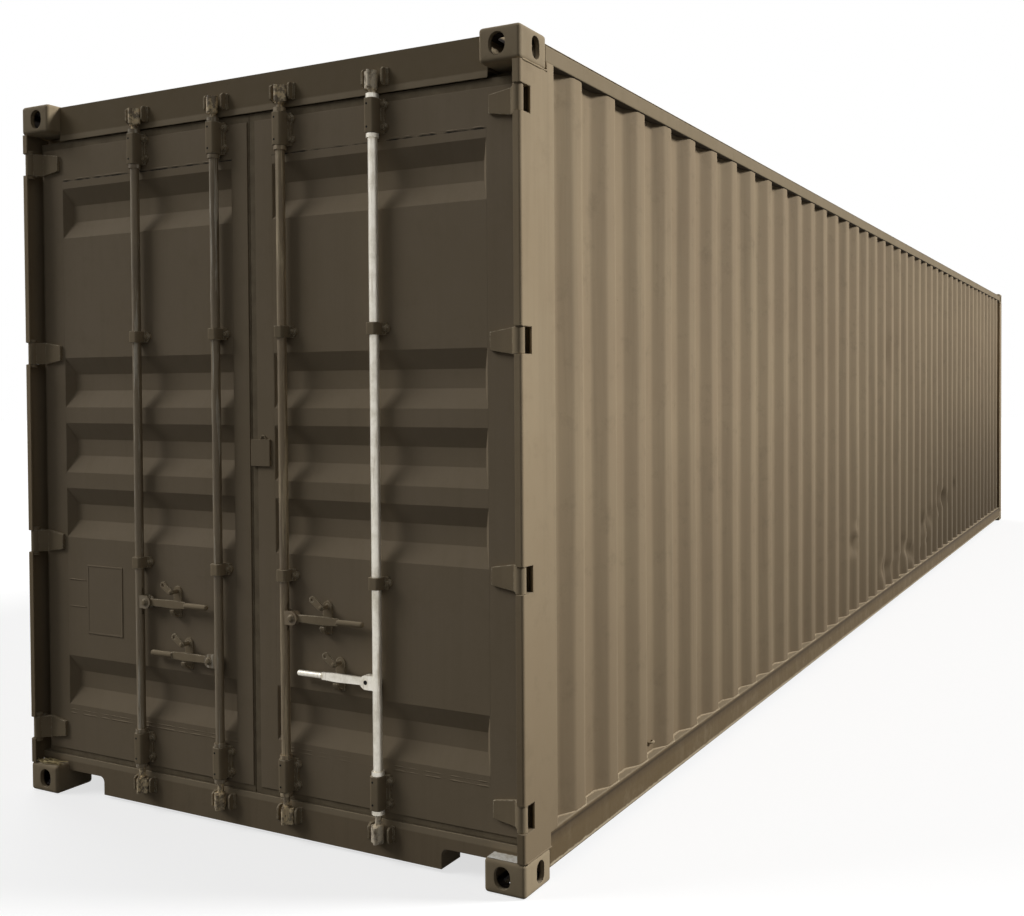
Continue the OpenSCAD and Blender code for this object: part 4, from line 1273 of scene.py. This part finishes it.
@dataclass
class LockingGear:
    """The bolts through the painted forks, the bare fork's empty bolt hole, and the loop on the overlap plate."""

    bolt: tuple[float, float, float] = (20 * MM, 7 * MM, 30 * MM)
    bolt_out: float = 42 * MM
    fork_front: float = 21 * MM
    hole: float = 9 * MM
    hole_t: float = 1.2 * MM
    rim: float = 1.5 * MM
    loop_y: tuple[float, float] = (-34 * MM, -60 * MM)
    loop_rise: float = 16 * MM
    loop_sunk: float = 2 * MM
    loop_wire: float = 3 * MM

    def fork_front_at(self, bar: LockingBar) -> Vector:
        """Gives the place of the bolt on a bar's fork."""
        return Vector((CAD_BOX[0].x + self.fork_front, bar.axis + bar.way * self.bolt_out, bar.handle))

    def build(self, finishes: dict[str, Material]) -> None:
        """Adds the bolts, the empty hole and the loop.

        Args:
            finishes: the finishes by name.
        """
        for bar in LockingBar:
            if bar is not LockingBar.RIGHT_OUTER:
                bolt = hex_bolt(f"{bar.label}_fork_bolt", *self.bolt)
                bolt.data.transform(Matrix.Translation(self.fork_front_at(bar)))
                dress(bolt, f"{bar.label}_bar", finishes["paint_gear"])
        self.empty_hole(finishes["galvanised"], finishes["shadow"])
        self.plate_loop(finishes["paint_gear"])

    def empty_hole(self, zinc: Material, shadow: Material) -> None:
        """Shows the bare fork's bolt hole, with no bolt in it, as painted shadow inside a zinc rim.

        Args:
            zinc: the finish of the rim.
            shadow: the painted shadow of the hole.
        """
        bar = LockingBar.RIGHT_OUTER
        place = self.fork_front_at(bar)
        hole = sunk_disc("right_outer_bolt_hole_shadow", 24, self.hole, self.hole_t, self.rim)
        hole.data.transform(Matrix.Translation(place))
        dress(hole, f"{bar.label}_bar", shadow)
        reach = self.hole + 0.5 * MM
        turns = [math.radians(angle) for angle in range(0, 361, 15)]
        path = [place + Vector((0, reach * math.cos(turn), reach * math.sin(turn))) for turn in turns]
        rim = bead("right_outer_hole_rim", path, self.rim, 3 * MM, seed=7, unevenness=0.1)
        dress(rim, f"{bar.label}_bar", zinc, BEAD_SMOOTH_DEG)

    def plate_loop(self, paint: Material) -> None:
        """Bends a small wire loop on the overlap plate's top edge.

        Args:
            paint: the finish.
        """
        low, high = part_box("right_overlap_plate")
        foot = Vector(((low.x + high.x) / 2, sum(self.loop_y) / 2, high.z - self.loop_sunk))
        half = abs(self.loop_y[0] - self.loop_y[1]) / 2
        turns = [math.radians(angle) for angle in range(0, 181, 15)]
        path = [foot + Vector((0, half * math.cos(turn), self.loop_rise * math.sin(turn))) for turn in turns]
        loop = bead("right_plate_loop", path, self.loop_wire, 6 * MM, seed=11, unevenness=0.08, sides=2)
        dress(loop, Body.RIGHT_DOOR.value, paint, BEAD_SMOOTH_DEG)


@dataclass
class CornerCastings:
    """The eight cast steel corner boxes, with the soft edges of the foundry's mould."""

    rounding: float = 14 * MM
    weld_gap: float = 0.02 * MM

    def build(self, paint: Material) -> None:
        """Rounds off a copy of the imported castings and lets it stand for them.

        Args:
            paint: the finish.
        """
        low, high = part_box("corner_castings")
        half = Vector(CASTING) / 2
        mould = block("block", -half, half)
        round_off(mould, self.rounding, 5)
        places = [
            (x, y, z) for x in (low.x + half.x, high.x - half.x)
            for y in (low.y + half.y, high.y - half.y) for z in (low.z + half.z, high.z - half.z)
        ]
        mould = spread(mould, places, "mould")
        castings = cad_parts["corner_castings"].copy()
        castings.data = castings.data.copy()
        castings.name = castings.data.name = "soft_corner_castings"
        bpy.context.scene.collection.objects.link(castings)
        activate(castings)
        bpy.ops.mesh.customdata_custom_splitnormals_clear()
        with editing(castings, Element.VERT):
            bpy.ops.mesh.select_all(action="SELECT")
            bpy.ops.mesh.remove_doubles(threshold=self.weld_gap)
        shape_with(castings, "BOOLEAN", operation="INTERSECT", solver="EXACT", object=mould)
        bpy.data.objects.remove(mould)
        dress(castings, Body.ROOT.value, paint, 35)
        shape_with(castings, "WEIGHTED_NORMAL", keep_sharp=True, weight=100)
        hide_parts("corner_castings")


@dataclass
class GasketLips:
    """The soft outer lips of the door seals, which all but close the gaps beside the leaves."""

    depth: float = 7 * MM
    head: float = 4.3 * MM
    meeting: float = 8.5 * MM
    lap: float = 2 * MM
    rounding: float = 1.6 * MM

    def build(self, rubber: Material) -> None:
        """Lays a lip over and under each leaf, and one along the left leaf's meeting edge.

        Args:
            rubber: the finish.
        """
        for side in ("left", "right"):
            low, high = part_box(f"{side}_door_gasket")
            back, top, foot = low.x + self.depth, high.z + self.head, low.z - self.head
            corners = [((low.x, low.y, high.z - self.lap), (back, high.y, top)),
                       ((low.x, low.y, foot), (back, high.y, low.z + self.lap))]
            if side == "left":
                corners.append(((low.x, low.y - self.meeting, foot), (back, low.y + self.lap, top)))
            strips = [block("strip", Vector(first), Vector(last)) for first, last in corners]
            for strip in strips:
                round_off(strip, self.rounding, 3)
            dress(join(strips, f"{side}_gasket_lips"), f"{side}_door", rubber)


@dataclass
class HingeWashers:
    """The thin wear plates between each hinge knuckle and the lugs over and under it."""

    size: tuple[float, float, float] = (60 * MM, 29 * MM, 1.1 * MM)
    corner: float = 6 * MM
    hinge: float = 117 * MM
    knuckle: float = 90 * MM
    play: float = 0.3 * MM

    def build(self, paint: Material) -> None:
        """Lays two plates at each of the eight hinges.

        Args:
            paint: the finish.
        """
        low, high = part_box("hinge_lugs")
        half = Vector(self.size) / 2
        x, y = low.x + half.x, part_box("door_posts")[1].y - half.y
        first, last = low.z + self.hinge / 2, high.z - self.hinge / 2
        rise = self.knuckle / 2 + self.play + half.z
        places = [
            (x, side * y, first + (last - first) * step / 3 + up * rise)
            for side in (-1, 1) for step in range(4) for up in (-1, 1)
        ]
        plate = block("plate", -half, half)
        round_off(plate, self.corner, 3, lambda edge: abs(edge.verts[0].co.z - edge.verts[1].co.z) > half.z,
                  Element.EDGE)
        dress(spread(plate, places, "hinge_washers"), Body.ROOT.value, paint)


@dataclass
class FrameWelds:
    """The weld lines where the corner castings meet the posts."""

    radius: float = 4 * MM
    step: float = 16 * MM
    start: float = 12 * MM
    sunk: float = 1 * MM

    def build(self, paint: Material) -> None:
        """Lays a line along each casting's edge on the two long sides.

        Args:
            paint: the finish.
        """
        low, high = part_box("corner_castings")
        long, _, tall = CASTING
        lines = []
        for side, y in ((-1, low.y), (1, high.y)):
            for end, x in ((1, low.x), (-1, high.x)):
                for up, z in ((1, low.z), (-1, high.z)):
                    path = [Vector((x + end * reach, y - side * self.sunk, z + up * tall))
                            for reach in (self.start, long)]
                    lines.append(bead("weld", path, self.radius, self.step, len(lines), 0.35))
        dress(join(lines, "casting_welds"), Body.ROOT.value, paint, BEAD_SMOOTH_DEG)


@dataclass
class Litter:
    """Dry straw on the left bottom casting, and pale dust on the right one."""

    ledge: float = 56 * MM
    strands: int = 46
    strewn_mm: tuple[tuple[float, float], ...] = ((6, 50), (1066, 1205), (1, 9))
    strand_mm: tuple[float, float] = (25, 80)
    strand_radius_mm: tuple[float, float] = (0.9, 1.7)
    kept_y: tuple[float, float] = (1050 * MM, 1214 * MM)
    edge: float = 2 * MM
    heap_y: float = -1138 * MM
    heap_wide: float = 146 * MM
    heap_edge: float = 5 * MM
    heap_mm: tuple[float, float] = (1.5, 6)

    def straw(self, finish: Material) -> None:
        """Scatters short bent strands over the left casting's top.

        Args:
            finish: the straw's finish.
        """
        dice = random.Random(5)
        corner = Vector((CAD_BOX[0].x, 0, CASTING[2]))
        strands = []
        for _ in range(self.strands):
            start = corner + Vector([dice.uniform(*span) * MM for span in self.strewn_mm])
            turn = dice.gauss(math.pi / 2, 0.5)
            long = dice.uniform(*self.strand_mm) * MM
            reach = Vector((math.cos(turn) * 0.5, math.sin(turn), 0)) * long
            bow = Vector((0, 0, dice.uniform(0, 0.12) * long))
            path = [start - reach / 2, start + bow, start + reach / 2]
            for point in path:
                point.x = min(max(point.x, corner.x + self.edge), corner.x + self.ledge)
                point.y = min(max(point.y, self.kept_y[0]), self.kept_y[1])
            radius = dice.uniform(*self.strand_radius_mm) * MM
            strands.append(bead("strand", path, radius, 200 * MM, len(strands), 0.3, 0))
        dress(join(strands, "left_casting_straw"), Body.ROOT.value, finish, BEAD_SMOOTH_DEG)

    def dust(self, finish: Material) -> None:
        """Heaps a thin layer of pale dust on the right casting's top.

        Args:
            finish: the dust's finish.
        """
        dice = random.Random(9)
        long = self.ledge - self.heap_edge - MM
        heap = primitive(Primitive.GRID, "right_casting_dust", x_subdivisions=10, y_subdivisions=26, size=1,
                         location=(CAD_BOX[0].x + self.heap_edge + long / 2, self.heap_y, CASTING[2]))
        heap.scale = (long, self.heap_wide, 1)
        settle(heap)
        with editing(heap, Element.EDGE) as mesh:
            for vert in mesh.verts:
                vert.co.z += 0 if vert.is_boundary else dice.uniform(*self.heap_mm) * MM
            bmesh.update_edit_mesh(heap.data)
            bpy.ops.mesh.select_all(action="SELECT")
            bpy.ops.mesh.vertices_smooth(factor=0.4, repeat=1)
        dress(heap, Body.ROOT.value, finish, 70)


def coat_frame(finishes: dict[str, Material]) -> None:
    """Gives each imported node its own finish, or that of its material slot.

    Args:
        finishes: the finishes by name.
    """
    for name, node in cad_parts.items():
        for slot in node.material_slots:
            slot.material = finishes[NODE_FINISHES.get(name, slot.material.name)]
            LOG.info("%s: %s", name, slot.material.name)


def main() -> None:
    """Builds the stage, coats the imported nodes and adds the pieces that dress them."""
    logging.basicConfig(level=logging.INFO, format="%(message)s")
    Studio().set_up()
    finishes = {name: recipe.make() for name, recipe in FINISHES.items()}
    coat_frame(finishes)
    SideWall("right_side_wall", "right_wall_sheet", crumpled(KNOCKS, 3, 3) + PINCHES).build(finishes, 0)
    SideWall("left_side_wall", "left_wall_sheet", rows=14).build(finishes, 1)
    for seed, side in enumerate(("left", "right")):
        DoorLeaf(side, seed).build(finishes)
    BarePlate().build(finishes["paint_door"])
    LockingGear().build(finishes)
    CornerCastings().build(finishes["paint_casting"])
    GasketLips().build(finishes["gasket"])
    HingeWashers().build(finishes["paint_frame"])
    FrameWelds().build(finishes["paint_frame"])
    litter = Litter()
    litter.straw(finishes["straw"])
    litter.dust(finishes["dust"])


if __name__ == "__main__":
    main()
